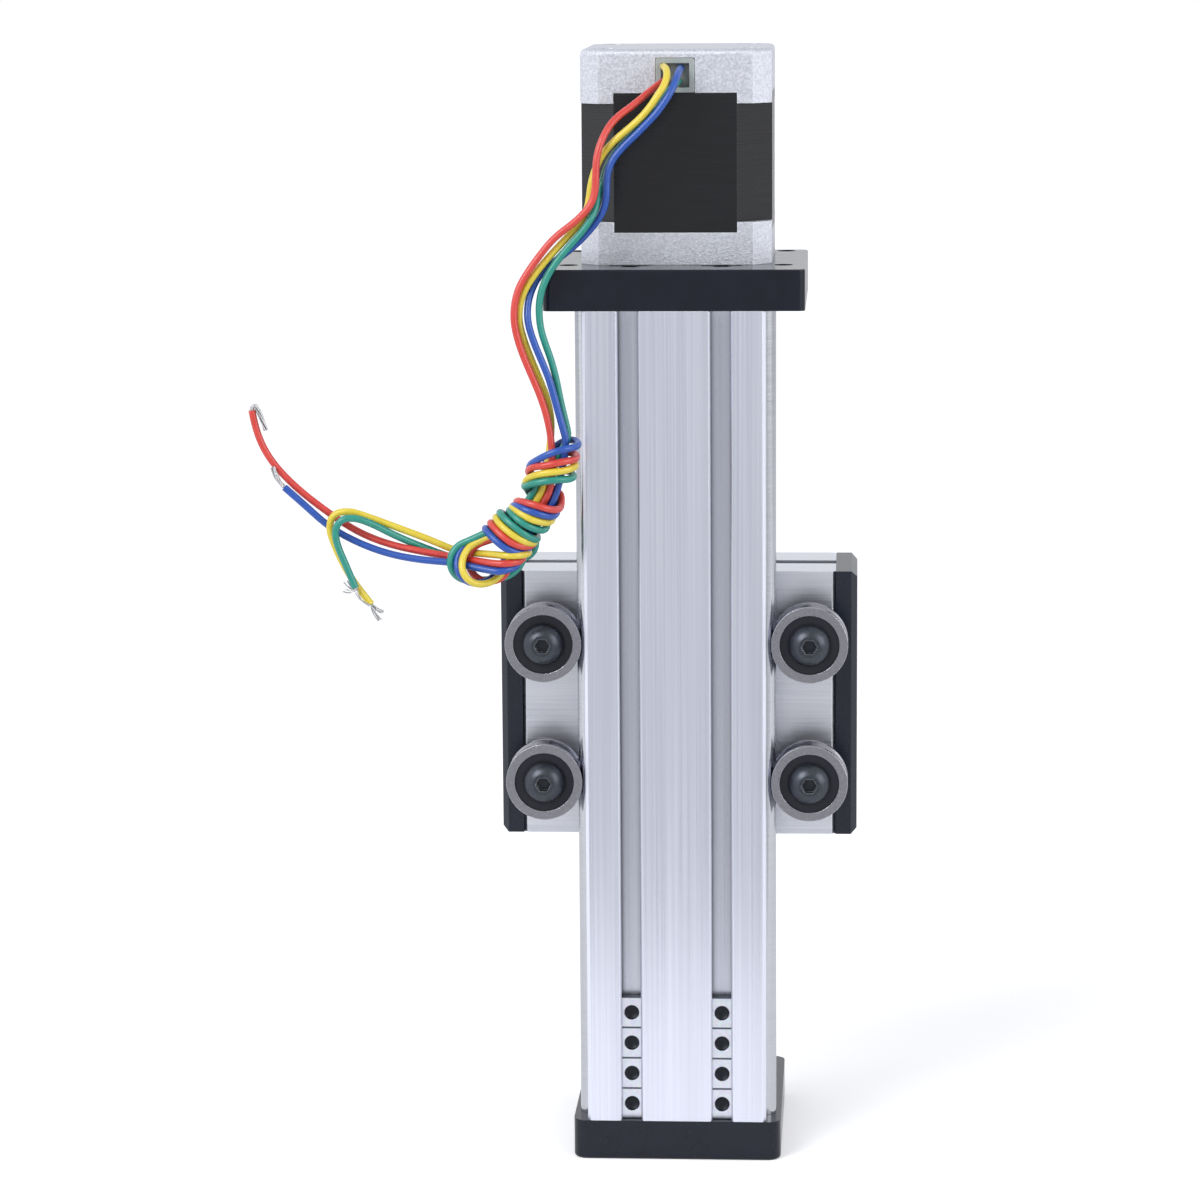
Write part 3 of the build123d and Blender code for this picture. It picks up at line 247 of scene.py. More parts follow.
def turns_route(colour):
    """Three turns round the core, from their start behind it to their end on its right side."""
    first, second, third = turn_crossings[colour]
    step = second - turn_lag - first
    runs = [
        (turn_first, first - 1.7), (0.2, first - 0.3), (0.35, first + 0.18 * step),
        (0.5, first + 0.46 * step), (0.7, first + 0.72 * step), (1, second - turn_lag),
        (1.25, second), (2.25, third), (3, third + 1.3),
    ]
    sides = [(turn_first, 5), (0.5, 5), (1, 4.4), (2, 4.4), (2.5, 5.8), (3, 5)]
    points = []
    for place in range(round((turn_last[colour] - turn_first) * points_per_turn) + 1):
        position = turn_first + place / points_per_turn
        angle = math.pi - math.tau * position
        across = between(sides, position) * math.cos(angle)
        points.append(beside_hank(between(runs, position), across, turn_front * math.sin(angle)))
    return points


tuck_radius = 3.8
tuck_drift = 0.3
tuck_z = {"blue": 135.3, "red": 137.0, "yellow": 138.8}
tuck_ends = {
    "blue": [(-38.8, -36.7, 135.4), (-41.6, -35.6, 135.7), (-44.6, -34.2, 136.1)],
    "red": [(-38.6, -36.4, 137.0), (-41.2, -35.0, 137.1), (-44.4, -32.9, 137.3)],
    "yellow": [(-36.9, -36.3, 138.8), (-39.6, -34.8, 138.8), (-43.4, -31.9, 138.6)],
    "green": [(-38.5, -26.4, 134.7), (-43.4, -27.2, 135.6)],
}


def tuck_route(colour, start):
    """The turn from the last wrap towards the loops: round the right side, or behind for green."""
    x, y, z = start
    if colour == "green":
        turns = [math.radians(angle) for angle in (60, 30, 0, -30, -60, -90)]
        return [
            (
                x + tuck_radius * math.cos(turn), y + tuck_drift * place,
                z - tuck_radius + tuck_radius * math.sin(turn),
            )
            for place, turn in enumerate(turns)
        ]
    turns = [math.radians(angle) for angle in (30, 60, 90)]
    return [
        (x - tuck_radius + tuck_radius * math.cos(turn), y - tuck_radius * math.sin(turn),
         z + (tuck_z[colour] - z) * (place + 1) / len(turns))
        for place, turn in enumerate(turns)
    ]


def hank_route(colour):
    """The points of one wire in the hank, from the top of the core to the start of its tail."""
    first = turn_crossings[colour][0]
    down = [beside_hank(run, core_side[colour], core_front[colour]) for run in (9, 13, 17, 21)]
    low = [(-39.4, -29.9, 132.5), (-35.8, -29.9, 133.3), (-33.2, -30.0, 136.0), (-31.9, -30.0, 140.2)]
    levels = ((22, -2.4), (18, -1.6), (14, -1.3))
    back = [beside_hank(run, back_side[colour], front) for run, front in levels]
    if colour == "green":
        back = low + back[1:2]
    over = [
        beside_hank(first + 5.5, 1.8, -1.4), beside_hank(first + 2.4, 1.4, -2.4),
        beside_hank(first + 0.2, 0.2, -3.3), beside_hank(first - 1.2, -1.7, -3.8),
    ]
    turns = turns_route(colour)
    tuck = tuck_route(colour, turns[-1]) + tuck_ends[colour]
    return down + loop_route(colour) + back + over + turns + tuck


print("hank of", len(hank_route("red")), "points in each wire")

# %% [markdown]
# ## The wires themselves
#
# A curve object with a round bevel is the lightest way to a wire: one spline, one diameter and
# no mesh to mend. The spline's order and its end points are set after its points, since a
# spline that is too short for its order quietly falls back to straight runs.

# %% Wires
wire_diameter = 1.6
wires = {}


def round_curve(name, around, along):
    """A curve without splines yet: the radii of its points scale a bevel of one metre."""
    curve = bpy.data.curves.new(name, "CURVE")
    curve.dimensions = "3D"
    curve.bevel_depth = 1
    curve.bevel_resolution = around
    curve.resolution_u = along
    curve.use_fill_caps = True
    holder = bpy.data.objects.new(name, curve)
    bpy.context.scene.collection.objects.link(holder)
    return holder


def add_spline(holder, route, diameter):
    """One smooth run along a route in millimetres, its order set after its points."""
    spline = holder.data.splines.new("NURBS")
    spline.points.add(len(route) - 1)
    for point, place in zip(spline.points, route):
        point.co = (*(Vector(place) * mm), 1)
        point.radius = diameter / 2 * mm
    spline.order_u = 3
    spline.use_endpoint_u = True


def line_of(wire):
    """The points of the smooth line that a wire follows."""
    depth = wire.data.bevel_depth
    wire.data.bevel_depth = 0
    bpy.context.view_layer.update()
    mesh = bpy.data.meshes.new_from_object(wire)
    points = [vertex.co.copy() for vertex in mesh.vertices]
    bpy.data.meshes.remove(mesh)
    wire.data.bevel_depth = depth
    return points


for colour in lead_routes:
    route = lead_routes[colour] + hank_route(colour) + tail_routes[colour]
    wire = round_curve("wire_" + colour, 4, 6)
    add_spline(wire, route, wire_diameter)
    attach(wire, "rail")
    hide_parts("lead_" + colour, "tail_" + colour, "lead_hank")
    line = line_of(wire)
    wires[colour] = wire

# %% [markdown]
# ## Bared ends
#
# Each lead is stripped for a few millimetres, and its seven tinned strands have come loose:
# the red ones are bent right back, the green and yellow ones have frayed. A strand is a curve
# of its own along one of its wire's paths, a little off its middle and twisting round it, so
# one rule gives a tight bundle near the insulation and a loose one at the end.

# %% Bared strands
strand_diameter = 0.34
strand_count = 7
strand_spacing = 0.31
strand_fray = 0.03
strand_twist = 0.7
strand_lift = 0.4
strand_paths = {
    "red": [[(-92.1, 170.4), (-91.6, 171.1), (-90.8, 170.2), (-90.0, 168.3), (-89.0, 165.4)]],
    "yellow": [
        [(-65.9, 126.6), (-65.4, 125.4), (-64.4, 123.9)],
        [(-65.7, 126.9), (-64.9, 126.2), (-63.7, 125.6)],
    ],
    "blue": [[(-86.0, 154.0), (-87.0, 155.6), (-87.6, 157.4)]],
    "green": [
        [(-69.2, 130.6), (-68.8, 129.4), (-67.8, 128.2), (-66.2, 127.4)],
        [(-69.3, 131.0), (-70.4, 131.0), (-71.6, 132.8)],
        [(-69.3, 130.9), (-70.5, 130.2), (-71.9, 130.8)],
    ],
}
bared_ends = {}
for colour, paths in strand_paths.items():
    inside = Vector(tail_routes[colour][-1])
    end = round_curve("bared_end_" + colour, 2, 5)
    for strand in range(strand_count):
        path = [inside] + [Vector((x, inside.y, z)) for x, z in paths[strand % len(paths)]]
        route = []
        for place, centre in enumerate(path):
            turn = math.tau * strand / (strand_count - 1) + strand_twist * place
            away = (strand_spacing + strand_fray * place * (strand % 3)) * (strand > 0)
            shift = Vector((math.cos(turn), math.sin(turn), strand_lift * math.sin(turn + 1))) * away
            route.append(centre + shift)
        add_spline(end, route, strand_diameter)
    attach(end, "rail")
    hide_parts("tinned_tips")
    bared_ends[colour] = end
print(len(bared_ends), "ends of", strand_count, "strands")

# %% [markdown]

# %% [markdown]
# ## The ball screw
#
# In the solids the screw is a plain bar, while a real one carries a round track for the balls.
# Its mesh is built in millimetres round the Z axis, where radii and heights can be read off, and
# only then moved to its own axis and scaled to metres. Smooth shading with sharp edges above an
# angle keeps turned shoulders crisp without a single extra face.

# %% A mesh becomes a piece
crease_angle = math.radians(35)
weld_distance = 0.001


def place_piece(name, bm, centre, body):
    """Makes a piece of a bmesh in millimetres round an axis at a centre, with crisp edges."""
    bmesh.ops.remove_doubles(bm, verts=bm.verts, dist=weld_distance)
    bmesh.ops.recalc_face_normals(bm, faces=bm.faces)
    bmesh.ops.translate(bm, verts=bm.verts, vec=centre)
    bmesh.ops.scale(bm, verts=bm.verts, vec=(mm, mm, mm))
    mesh = bpy.data.meshes.new(name)
    bm.to_mesh(mesh)
    bm.free()
    mesh.shade_smooth()
    mesh.set_sharp_from_angle(angle=crease_angle)
    piece = bpy.data.objects.new(name, mesh)
    bpy.context.scene.collection.objects.link(piece)
    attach(piece, body)
    print(name, "has", len(mesh.polygons), "faces")
    return piece


def draw(bm, points):
    """A chain of edges through points given as radius and height."""
    verts = [bm.verts.new((radius, 0, height)) for radius, height in points]
    return verts + [bm.edges.new(pair) for pair in zip(verts, verts[1:])]


# %% [markdown]
# The track winds to the right with a lead of four millimetres, a usual value for such a screw.
# One lead of its section is drawn as a few points, land, groove and land, and spun up the axis:
# dvec lifts every step a little, so the last point of one turn meets the first of the next and
# merging them closes the surface. Two cuts square off the ends, and the journals are turned
# from their own half sections.

# %% Track and journals of the screw
lead = 4
screw_y = 6
screw_radius = 5
journal_radius = 3
track_radius = 1.25
track_depth = 0.8
thread_foot, thread_top = 9.9, 148.5
steps_per_turn = 40
groove_half = math.degrees(math.acos(1 - track_depth / track_radius))
groove_points = 9
groove = []
for place in range(groove_points):
    angle = math.radians(groove_half * (2 * place / (groove_points - 1) - 1))
    reach = screw_radius - track_depth + track_radius
    groove.append((reach - track_radius * math.cos(angle), lead / 2 + track_radius * math.sin(angle)))
section = [(screw_radius, 0), *groove, (screw_radius, lead)]
turns = math.ceil((thread_top - thread_foot) / lead) + 2
bm = bmesh.new()
chain = draw(bm, [(radius, height + thread_foot - 1.5 * lead) for radius, height in section])
bmesh.ops.spin(
    bm, geom=chain, cent=(0, 0, 0), axis=(0, 0, 1), dvec=(0, 0, lead / steps_per_turn),
    angle=math.tau * turns, steps=steps_per_turn * turns,
)
bmesh.ops.remove_doubles(bm, verts=bm.verts, dist=weld_distance)
for level, way in ((thread_top, 1), (thread_foot, -1)):
    whole = bm.verts[:] + bm.edges[:] + bm.faces[:]
    bmesh.ops.bisect_plane(
        bm, geom=whole, plane_co=(0, 0, level), plane_no=(0, 0, way), clear_outer=True,
    )
bmesh.ops.holes_fill(bm, edges=bm.edges, sides=0)
journals = [
    [
        (0, 3.6), (2.7, 3.6), (journal_radius, 3.9), (journal_radius, 9.4), (4.5, 9.4),
        (screw_radius, thread_foot), (0, thread_foot),
    ],
    [
        (0, thread_top), (screw_radius, thread_top), (4.5, 149), (4.2, 149.97),
        (journal_radius, 149.97), (journal_radius, 160.4), (2.8, 160.6), (2.8, 164.6),
        (journal_radius, 164.8), (journal_radius, 173.7), (2.7, 174), (0, 174),
    ],
]
for half_section in journals:
    chain = draw(bm, half_section)
    bmesh.ops.spin(
        bm, geom=chain, cent=(0, 0, 0), axis=(0, 0, 1), angle=math.tau, steps=steps_per_turn,
        use_merge=True,
    )
threaded_screw = place_piece("threaded_ball_screw", bm, (0, screw_y, 0), "screw")
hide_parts("ball_screw")

# %% [markdown]
# ## Bores of the square nuts
#
# The photograph shows the threaded bores of the square nuts as dark hollows, and doesn't show
# what closes them. They are guessed to be drilled blind, so each ends in the flat cone of 118
# degrees that the point of a drill leaves, and the cone rides with its nut along the slot.

# %% Drill points
# The cones get a near-black finish further on: dark pieces put in the bores as painted shade.
bore_radius = 1.64
drill_angle = 118
point_height = bore_radius / math.tan(math.radians(drill_angle / 2))
nuts_in_slot = 4
nut_front_y, bore_depth = -25, 0.9
nut_pitch, nut_foot, nut_x = 7.02, 9, 10.1
bore_shade_cones = []
for side, name in ((-1, "left"), (1, "right")):
    bm = bmesh.new()
    into = Matrix.Rotation(-math.pi / 2, 4, "X")
    for step in range(nuts_in_slot):
        centre = (
            side * nut_x, nut_front_y + bore_depth + point_height / 2,
            nut_foot + (step + 0.5) * nut_pitch,
        )
        bmesh.ops.create_cone(
            bm, segments=32, radius1=bore_radius, radius2=0, depth=point_height,
            matrix=Matrix.Translation(centre) @ into,
        )
    bmesh.ops.reverse_faces(bm, faces=bm.faces)
    bmesh.ops.scale(bm, verts=bm.verts, vec=(mm, mm, mm))
    mesh = bpy.data.meshes.new("bore_shade_cones_" + name)
    bm.to_mesh(mesh)
    bm.free()
    mesh.shade_smooth()
    hollow = bpy.data.objects.new("bore_shade_cones_" + name, mesh)
    bpy.context.scene.collection.objects.link(hollow)
    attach(hollow, "nuts_" + name)
    bore_shade_cones.append(hollow)
print(len(bore_shade_cones), "rows of drill points", round(point_height, 2), "mm deep")

# %% [markdown]
# ## Colours and nodes
#
# Paint charts and photographs give colours as sRGB hex values, but a shader mixes light, which
# is linear. One function converts them, and one more adds any shader node with its settings
# and links, so each finish below reads as a short recipe.

# %% Colours, and a node in one line
def linear(hex_colour):
    """A linear colour with full alpha from an sRGB hex value."""
    channels = [int(hex_colour[start:start + 2], 16) / 255 for start in (1, 3, 5)]
    return [c / 12.92 if c <= 0.04045 else ((c + 0.055) / 1.055) ** 2.4 for c in channels] + [1]


def add(material, kind, inputs, **settings):
    """Adds a node: settings are its own properties, and inputs are values or sockets to link."""
    node = material.node_tree.nodes.new(kind)
    for name, value in settings.items():
        setattr(node, name, value)
    sockets = {socket.identifier: socket for socket in node.inputs}
    for name, value in inputs.items():
        if isinstance(value, bpy.types.NodeSocket):
            material.node_tree.links.new(value, sockets[name])
        else:
            sockets[name].default_value = value
    return node


def link(material, output, shader, name):
    """Feeds one socket of a shader that is already there."""
    material.node_tree.links.new(output, shader.inputs[name])


print("black anodising is", [round(c, 3) for c in linear("#1e1f26")])

# %% [markdown]
# Nearly every finish here needs the same three things: a tone that wanders between two
# values, a relief and a gloss that wander with it, and edges in a tone of their own, mostly
# paler: partly rubbed by handling and partly a painted highlight. Recesses get painted shade:
# an ambient occlusion node that looks at the piece alone darkens their colour, so the painted
# shade stays put when the carriage moves. The edge comes from a bevel node: where its rounded
# normal differs from the true one, there is an edge within reach. So one recipe takes the
# tones, the grain and the relief, and what is special about a finish is added after it. Where
# that is a wave, its scale is the period that a wave texture has at scale 1, divided by the
# real period.

# %% The common recipe of a finish
edge_reach = 0.25 * mm
recess_reach = 5 * mm
recess_tone = 0.35
recess_from, recess_to = 0.25, 0.85
wear_and_highlight_from, wear_and_highlight_to = 0.97, 0.8
gloss_from, gloss_to = 0.3, 0.7
gloss_spread = 0.04
wave_period = 0.314


def finish(name, tones, grain, relief, roughness, inputs):
    """A finish with dark, pale and edge tones, and a grain and a relief in millimetres."""
    material = bpy.data.materials.new(name)
    material.use_nodes = True
    material.node_tree.nodes.clear()
    shader = add(material, "ShaderNodeBsdfPrincipled", inputs)
    add(material, "ShaderNodeOutputMaterial", {"Surface": shader.outputs["BSDF"]})
    place = add(material, "ShaderNodeTexCoord", {}).outputs["Object"]
    scale = [1 / (size * mm) for size in grain]
    scaled = add(material, "ShaderNodeMapping", {"Vector": place, "Scale": scale})
    noise = add(
        material, "ShaderNodeTexNoise", {"Vector": scaled.outputs["Vector"], "Scale": 1, "Detail": 3},
    )
    height = noise.outputs["Fac"]
    dark, pale, edge = [linear(tone) for tone in tones]
    tone = add(
        material, "ShaderNodeMix", {"Factor_Float": height, "A_Color": dark, "B_Color": pale},
        data_type="RGBA",
    )
    # Painted shade: ambient occlusion darkens the base colour in recesses.
    open_sky = add(
        material, "ShaderNodeAmbientOcclusion", {"Distance": recess_reach}, samples=6, only_local=True,
    )
    painted_recess_shade = add(
        material, "ShaderNodeMapRange",
        {
            "Value": open_sky.outputs["AO"], "From Min": recess_from, "From Max": recess_to,
            "To Min": recess_tone,
        },
    )
    shaded = add(
        material, "ShaderNodeVectorMath", {"Vector": tone.outputs[2], "Scale": painted_recess_shade.outputs["Result"]},
        operation="SCALE",
    )
    rounded = add(material, "ShaderNodeBevel", {"Radius": edge_reach}, samples=4).outputs["Normal"]
    true = add(material, "ShaderNodeNewGeometry", {}).outputs["Normal"]
    match = add(
        material, "ShaderNodeVectorMath", {"Vector": rounded, "Vector_001": true}, operation="DOT_PRODUCT",
    )
    # Edges are mixed towards the edge tone: partly wear, partly a painted highlight.
    wear_and_highlight = add(
        material, "ShaderNodeMapRange",
        {"Value": match.outputs["Value"], "From Min": wear_and_highlight_from, "From Max": wear_and_highlight_to},
    )
    edged = add(
        material, "ShaderNodeMix",
        {"Factor_Float": wear_and_highlight.outputs["Result"], "A_Color": shaded.outputs["Vector"], "B_Color": edge},
        data_type="RGBA",
    )
    gloss = add(
        material, "ShaderNodeMapRange",
        {
            "Value": height, "From Min": gloss_from, "From Max": gloss_to,
            "To Min": roughness - gloss_spread, "To Max": roughness + gloss_spread,
        },
    )
    bump = add(material, "ShaderNodeBump", {"Height": height, "Distance": relief * mm, "Normal": rounded})
    link(material, edged.outputs[2], shader, "Base Color")
    link(material, gloss.outputs["Result"], shader, "Roughness")
    link(material, bump.outputs["Normal"], shader, "Normal")
    return material, shader, place, edged.outputs[2], bump


def dress(material, *names):
    """Gives these CAD nodes one material."""
    for name in names:
        nodes[name].data.materials.clear()
        nodes[name].data.materials.append(material)


# %% [markdown]
# ## Aluminium
#
# The base is an extrusion. The die leaves long faint lines on it, and etching and clear
# anodising soften them to a satin with a cool tinge, so its grain is half a millimetre wide
# and 120 long. A second, broader noise gives the slow waver in tone of a long bar.

# %% Extruded and anodised aluminium
die_line, die_run = 0.5, 120
extruded_aluminium, shader, place, tone, _ = finish(
    "anodised_extruded_aluminium", ("#c8cbdb", "#e9ecf6", "#fafbfe"), (die_line, die_line, die_run),
    0.003, 0.3, {"Metallic": 1},
)
band_width, band_length = 4 * mm, 250 * mm
band = add(
    extruded_aluminium, "ShaderNodeMapping",
    {"Vector": place, "Scale": [1 / band_width, 1 / band_width, 1 / band_length]},
)
waver = add(
    extruded_aluminium, "ShaderNodeTexNoise", {"Vector": band.outputs["Vector"], "Scale": 1, "Detail": 1},
)
shade = add(
    extruded_aluminium, "ShaderNodeMapRange",
    {"Value": waver.outputs["Fac"], "From Min": 0.35, "From Max": 0.65, "To Min": 0.94, "To Max": 1},
)
banded = add(
    extruded_aluminium, "ShaderNodeVectorMath", {"Vector": tone, "Scale": shade.outputs["Result"]},
    operation="SCALE",
)
link(extruded_aluminium, banded.outputs["Vector"], shader, "Base Color")
dress(extruded_aluminium, "base_extrusion")
print(extruded_aluminium.name, "on the base, with die lines", die_line, "mm wide")

# %% [markdown]
# The carriage is milled from a bar, then linished: fine scratches run from side to side over
# a faint ladder of cutter marks. The scratches are the grain, 24 millimetres long, and a
# wave texture across them with a wandering phase makes the marks of a face mill.

# %% Milled aluminium
cutter_step = 1.6
scratch_length, scratch_width = 24, 0.35
milled_aluminium, shader, place, _, bump = finish(
    "milled_aluminium", ("#c4c7d0", "#e8eaf1", "#f6f7f9"),
    (scratch_length, scratch_width, scratch_width), 0.006, 0.34, {"Metallic": 1},
)
ladder = add(
    milled_aluminium, "ShaderNodeTexWave",
    {
        "Vector": place, "Scale": wave_period / (cutter_step * mm), "Distortion": 1.2, "Detail": 1,
        "Detail Scale": 0.02,
    },
    bands_direction="Z",
)
marks = add(
    milled_aluminium, "ShaderNodeBump",
    {"Height": ladder.outputs["Fac"], "Distance": 0.002 * mm, "Normal": bump.outputs["Normal"]},
)
link(milled_aluminium, marks.outputs["Normal"], shader, "Normal")
dress(milled_aluminium, "carriage_body")
print(milled_aluminium.name, "with cutter marks", cutter_step, "mm apart")

# %% [markdown]
# The coupling hubs are turned. A lathe tool leaves rings at its feed, a few tenths of a
# millimetre apart, which stretch the highlight across them: a wave along the axis, no more.

# %% Turned aluminium
tool_feed = 0.4
turned_aluminium, shader, place, _, bump = finish(
    "turned_aluminium", ("#bfc2c8", "#d8dadf", "#f0f1f4"), (3, 3, 0.3), 0.003, 0.27, {"Metallic": 1},
)
rings = add(
    turned_aluminium, "ShaderNodeTexWave", {"Vector": place, "Scale": wave_period / (tool_feed * mm)},
    bands_direction="Z",
)
grooves = add(
    turned_aluminium, "ShaderNodeBump",
    {"Height": rings.outputs["Fac"], "Distance": 0.006 * mm, "Normal": bump.outputs["Normal"]},
)
link(turned_aluminium, grooves.outputs["Normal"], shader, "Normal")
dress(turned_aluminium, "coupling_screw_hub", "coupling_motor_hub")
print(turned_aluminium.name, "with rings", tool_feed, "mm apart")

# %% [markdown]
# The motor's end caps are die cast and blasted with beads. The blasting closes the skin to a
# soft frosted grey: hardly any mirror, many small dents. Real dents are a tenth of a millimetre
# across, and are drawn over three times as coarse so that they still show.

# %% Die-cast motor caps
dent = 0.35
cast_aluminium, shader, place, _, bump = finish(
    "bead_blasted_cast_aluminium", ("#9c9faa", "#e6e8ee", "#f0f1f5"), (0.55, 0.55, 0.55), 0.03, 0.5,
    {"Metallic": 0.85},
)
dents = add(cast_aluminium, "ShaderNodeTexVoronoi", {"Vector": place, "Scale": 1 / (dent * mm)})
blasted = add(
    cast_aluminium, "ShaderNodeBump",
    {"Height": dents.outputs["Distance"], "Distance": 0.04 * mm, "Normal": bump.outputs["Normal"]},
)
link(cast_aluminium, blasted.outputs["Normal"], shader, "Normal")
dress(cast_aluminium, "motor_front_cap", "motor_rear_cap")
print(cast_aluminium.name, "with dents", dent, "mm wide")

# %% [markdown]
# ## Black finishes
#
# The two plates and the bearing block are machined and dyed black when anodised. The dye
# leaves them a cool near-black and satin; their edges are a little paler, partly from wear and
# partly as a painted highlight. The caps of the carriage are moulded plastic, with the fine
# spark texture of their mould.

# %% Black anodising and moulded plastic
black_anodising = finish(
    "black_anodised_aluminium", ("#0b0e17", "#131928", "#3b4151"), (5, 0.35, 5), 0.003, 0.2,
    {"Specular IOR Level": 0.3},
)[0]
dress(black_anodising, "motor_plate", "end_plate", "bearing_block")
black_plastic = finish(
    "moulded_black_nylon", ("#131723", "#1b2130", "#3a4250"), (0.35, 0.35, 0.35), 0.012, 0.3,
    {"Specular IOR Level": 0.4},
)[0]
dress(black_plastic, "end_cap_left", "end_cap_right")
print("black finishes:", black_anodising.name, black_plastic.name)

# %% [markdown]
# The stator is a stack of sheets half a millimetre thick, pressed together, ground on its
# flats and dipped in black lacquer. The lacquer fills most of each joint, so the sheets show
# as faint lines round the stack: a wave along the motor's axis, with a pitch of one sheet.

# %% Lacquered stator stack
sheet = 0.5
stack_height = 30.4
black_lamination, shader, place, _, bump = finish(
    "lacquered_lamination_stack", ("#08090d", "#121318", "#34363d"), (12, 12, 0.5), 0.006, 0.28,
    {"Specular IOR Level": 0.4},
)
joints_in_stack = add(
    black_lamination, "ShaderNodeTexWave",
    {
        "Vector": place, "Scale": wave_period / (sheet * mm), "Distortion": 0.4, "Detail": 1,
        "Detail Scale": 0.05,
    },
    bands_direction="Z",
)
stacked = add(
    black_lamination, "ShaderNodeBump",
    {"Height": joints_in_stack.outputs["Fac"], "Distance": 0.012 * mm, "Normal": bump.outputs["Normal"]},
)
link(black_lamination, stacked.outputs["Normal"], shader, "Normal")
dress(black_lamination, "motor_stator")
print(black_lamination.name, "of", round(stack_height / sheet), "sheets")

# %% [markdown]
# The screws are steel, blacked in a hot bath of salts: still a metal, but dark, with a cool
# grey tone on its edges, partly wear and partly a painted highlight. Seals and wipers are
# nitrile rubber, the dullest black of all, and a trace of sheen stands for the talc of their mould.

# %% Black oxide and rubber
black_oxide = finish(
    "black_oxide_steel", ("#34373d", "#4b5058", "#9a9da3"), (0.6, 0.6, 0.6), 0.004, 0.34, {"Metallic": 0.8},
)[0]
screw_nodes = (
    "roller_bolts", "nut_screws", "block_screws", "motor_plate_screws", "end_plate_screws",
    "motor_case_screws", "motor_mounting_screws", "coupling_screws",
)
dress(black_oxide, *screw_nodes)
roller_names = ("upper_left", "upper_right", "lower_left", "lower_right")
seal_rubber = finish(
    "nitrile_rubber", ("#12141a", "#1c1f28", "#2c3038"), (0.5, 0.5, 0.5), 0.01, 0.5,
    {"Specular IOR Level": 0.3, "Sheen Weight": 0.05},
)[0]
dress(seal_rubber, "nut_wipers", *["roller_seals_" + name for name in roller_names])
print("oxide on", len(screw_nodes), "sets of screws, rubber on the seals")

# %% [markdown]
# ## Steel
#
# Shafts are hardened and ground: nearly a mirror, with hairlines round them from the wheel.
# Bearing rings are ground and lapped with a warmer tone. The bushes are nickel plated, yellower
# and smoother. Zinc plating on the square nuts is bluish and shows the outlines of its
# crystals, which are cells rather than a cloud, so a Voronoi texture draws them. The plating
# is drawn darker in a narrow line each pitch, where one nut meets the next, and along its edges.

# %% Ground, bearing, nickel and zinc steel
ground_steel = finish(
    "ground_hardened_steel", ("#a9abb1", "#bfc1c7", "#e6e7ea"), (8, 8, 0.25), 0.0015, 0.17, {"Metallic": 1},
)[0]
dress(ground_steel, "guide_shafts", "motor_shaft", "ball_nut")
bearing_steel = finish(
    "lapped_bearing_steel", ("#86868e", "#a2a1a8", "#dadade"), (0.7, 0.25, 0.7), 0.002, 0.24,
    {"Metallic": 1},
)[0]
dress(bearing_steel, "roller_inner_rings", "motor_bearings", "block_bearings", "free_end_bearing")
dress(bearing_steel, *["roller_ring_" + name for name in roller_names])
nickel_steel = finish(
    "nickel_plated_steel", ("#b6b2a8", "#c8c5bc", "#e4e2dc"), (0.6, 0.6, 0.6), 0.002, 0.24, {"Metallic": 1},
)[0]
dress(nickel_steel, "plain_bushes", "eccentric_bushes", "lock_nut")
crystal = 0.5
zinc_steel, shader, place, tone, _ = finish(
    "zinc_plated_steel", ("#c6cad6", "#e0e3ec", "#5b6069"), (1.5, 1.5, 1.5), 0.003, 0.3, {"Metallic": 1},
)
crystals = add(zinc_steel, "ShaderNodeTexVoronoi", {"Vector": place, "Scale": 1 / (crystal * mm)})
plated = add(
    zinc_steel, "ShaderNodeMix",
    {"Factor_Float": 0.12, "A_Color": tone, "B_Color": crystals.outputs["Color"]},
    data_type="RGBA", blend_type="MULTIPLY",
)
height = add(zinc_steel, "ShaderNodeSeparateXYZ", {"Vector": place}).outputs["Z"]
above_foot = add(
    zinc_steel, "ShaderNodeMath", {"Value": height, "Value_001": nut_foot * mm}, operation="SUBTRACT",
)
from_edge = add(
    zinc_steel, "ShaderNodeMath", {"Value": above_foot.outputs["Value"], "Value_001": nut_pitch / 2 * mm},
    operation="PINGPONG",
)
# A darker line is drawn each pitch, where one nut meets the next.
nut_join_line = add(
    zinc_steel, "ShaderNodeMapRange",
    {
        "Value": from_edge.outputs["Value"], "From Min": 0.12 * mm, "From Max": 0.3 * mm,
        "To Min": 1, "To Max": 0,
    },
)
lined = add(
    zinc_steel, "ShaderNodeMix",
    {"Factor_Float": nut_join_line.outputs["Result"], "A_Color": plated.outputs[2], "B_Color": linear("#4c525b")},
    data_type="RGBA",
)
link(zinc_steel, lined.outputs[2], shader, "Base Color")
dress(zinc_steel, "square_nuts_left", "square_nuts_right")
print("steel finishes made, zinc crystals", crystal, "mm wide")

# %% [markdown]
# The cones in the bores are drawn near-black: painted shade that stands for the dark depth of
# each bore. It keeps enough metal and a middling gloss, so that the cone inside catches some light from
# above.

# %% Painted shade in the bores
# Painted shade: a near-black finish on the cones stands for the dark depth of the bores.
painted_bore_shade = finish(
    "oiled_thread_steel", ("#15181d", "#24282f", "#5b6069"), (0.4, 0.4, 0.4), 0.01, 0.4, {"Metallic": 0.6},
)[0]
for hollow in bore_shade_cones:
    hollow.data.materials.append(painted_bore_shade)
print(painted_bore_shade.name, "in", len(bore_shade_cones), "rows of bores")

# %% [markdown]
# ## Inside the motor and the coupling
#
# These show only through gaps, yet they move with the screw and may be looked at on their
# own: a translucent red polyurethane spider, enamelled copper coils whose turns run along the
# motor, bare rotor sheets and a ground magnet.

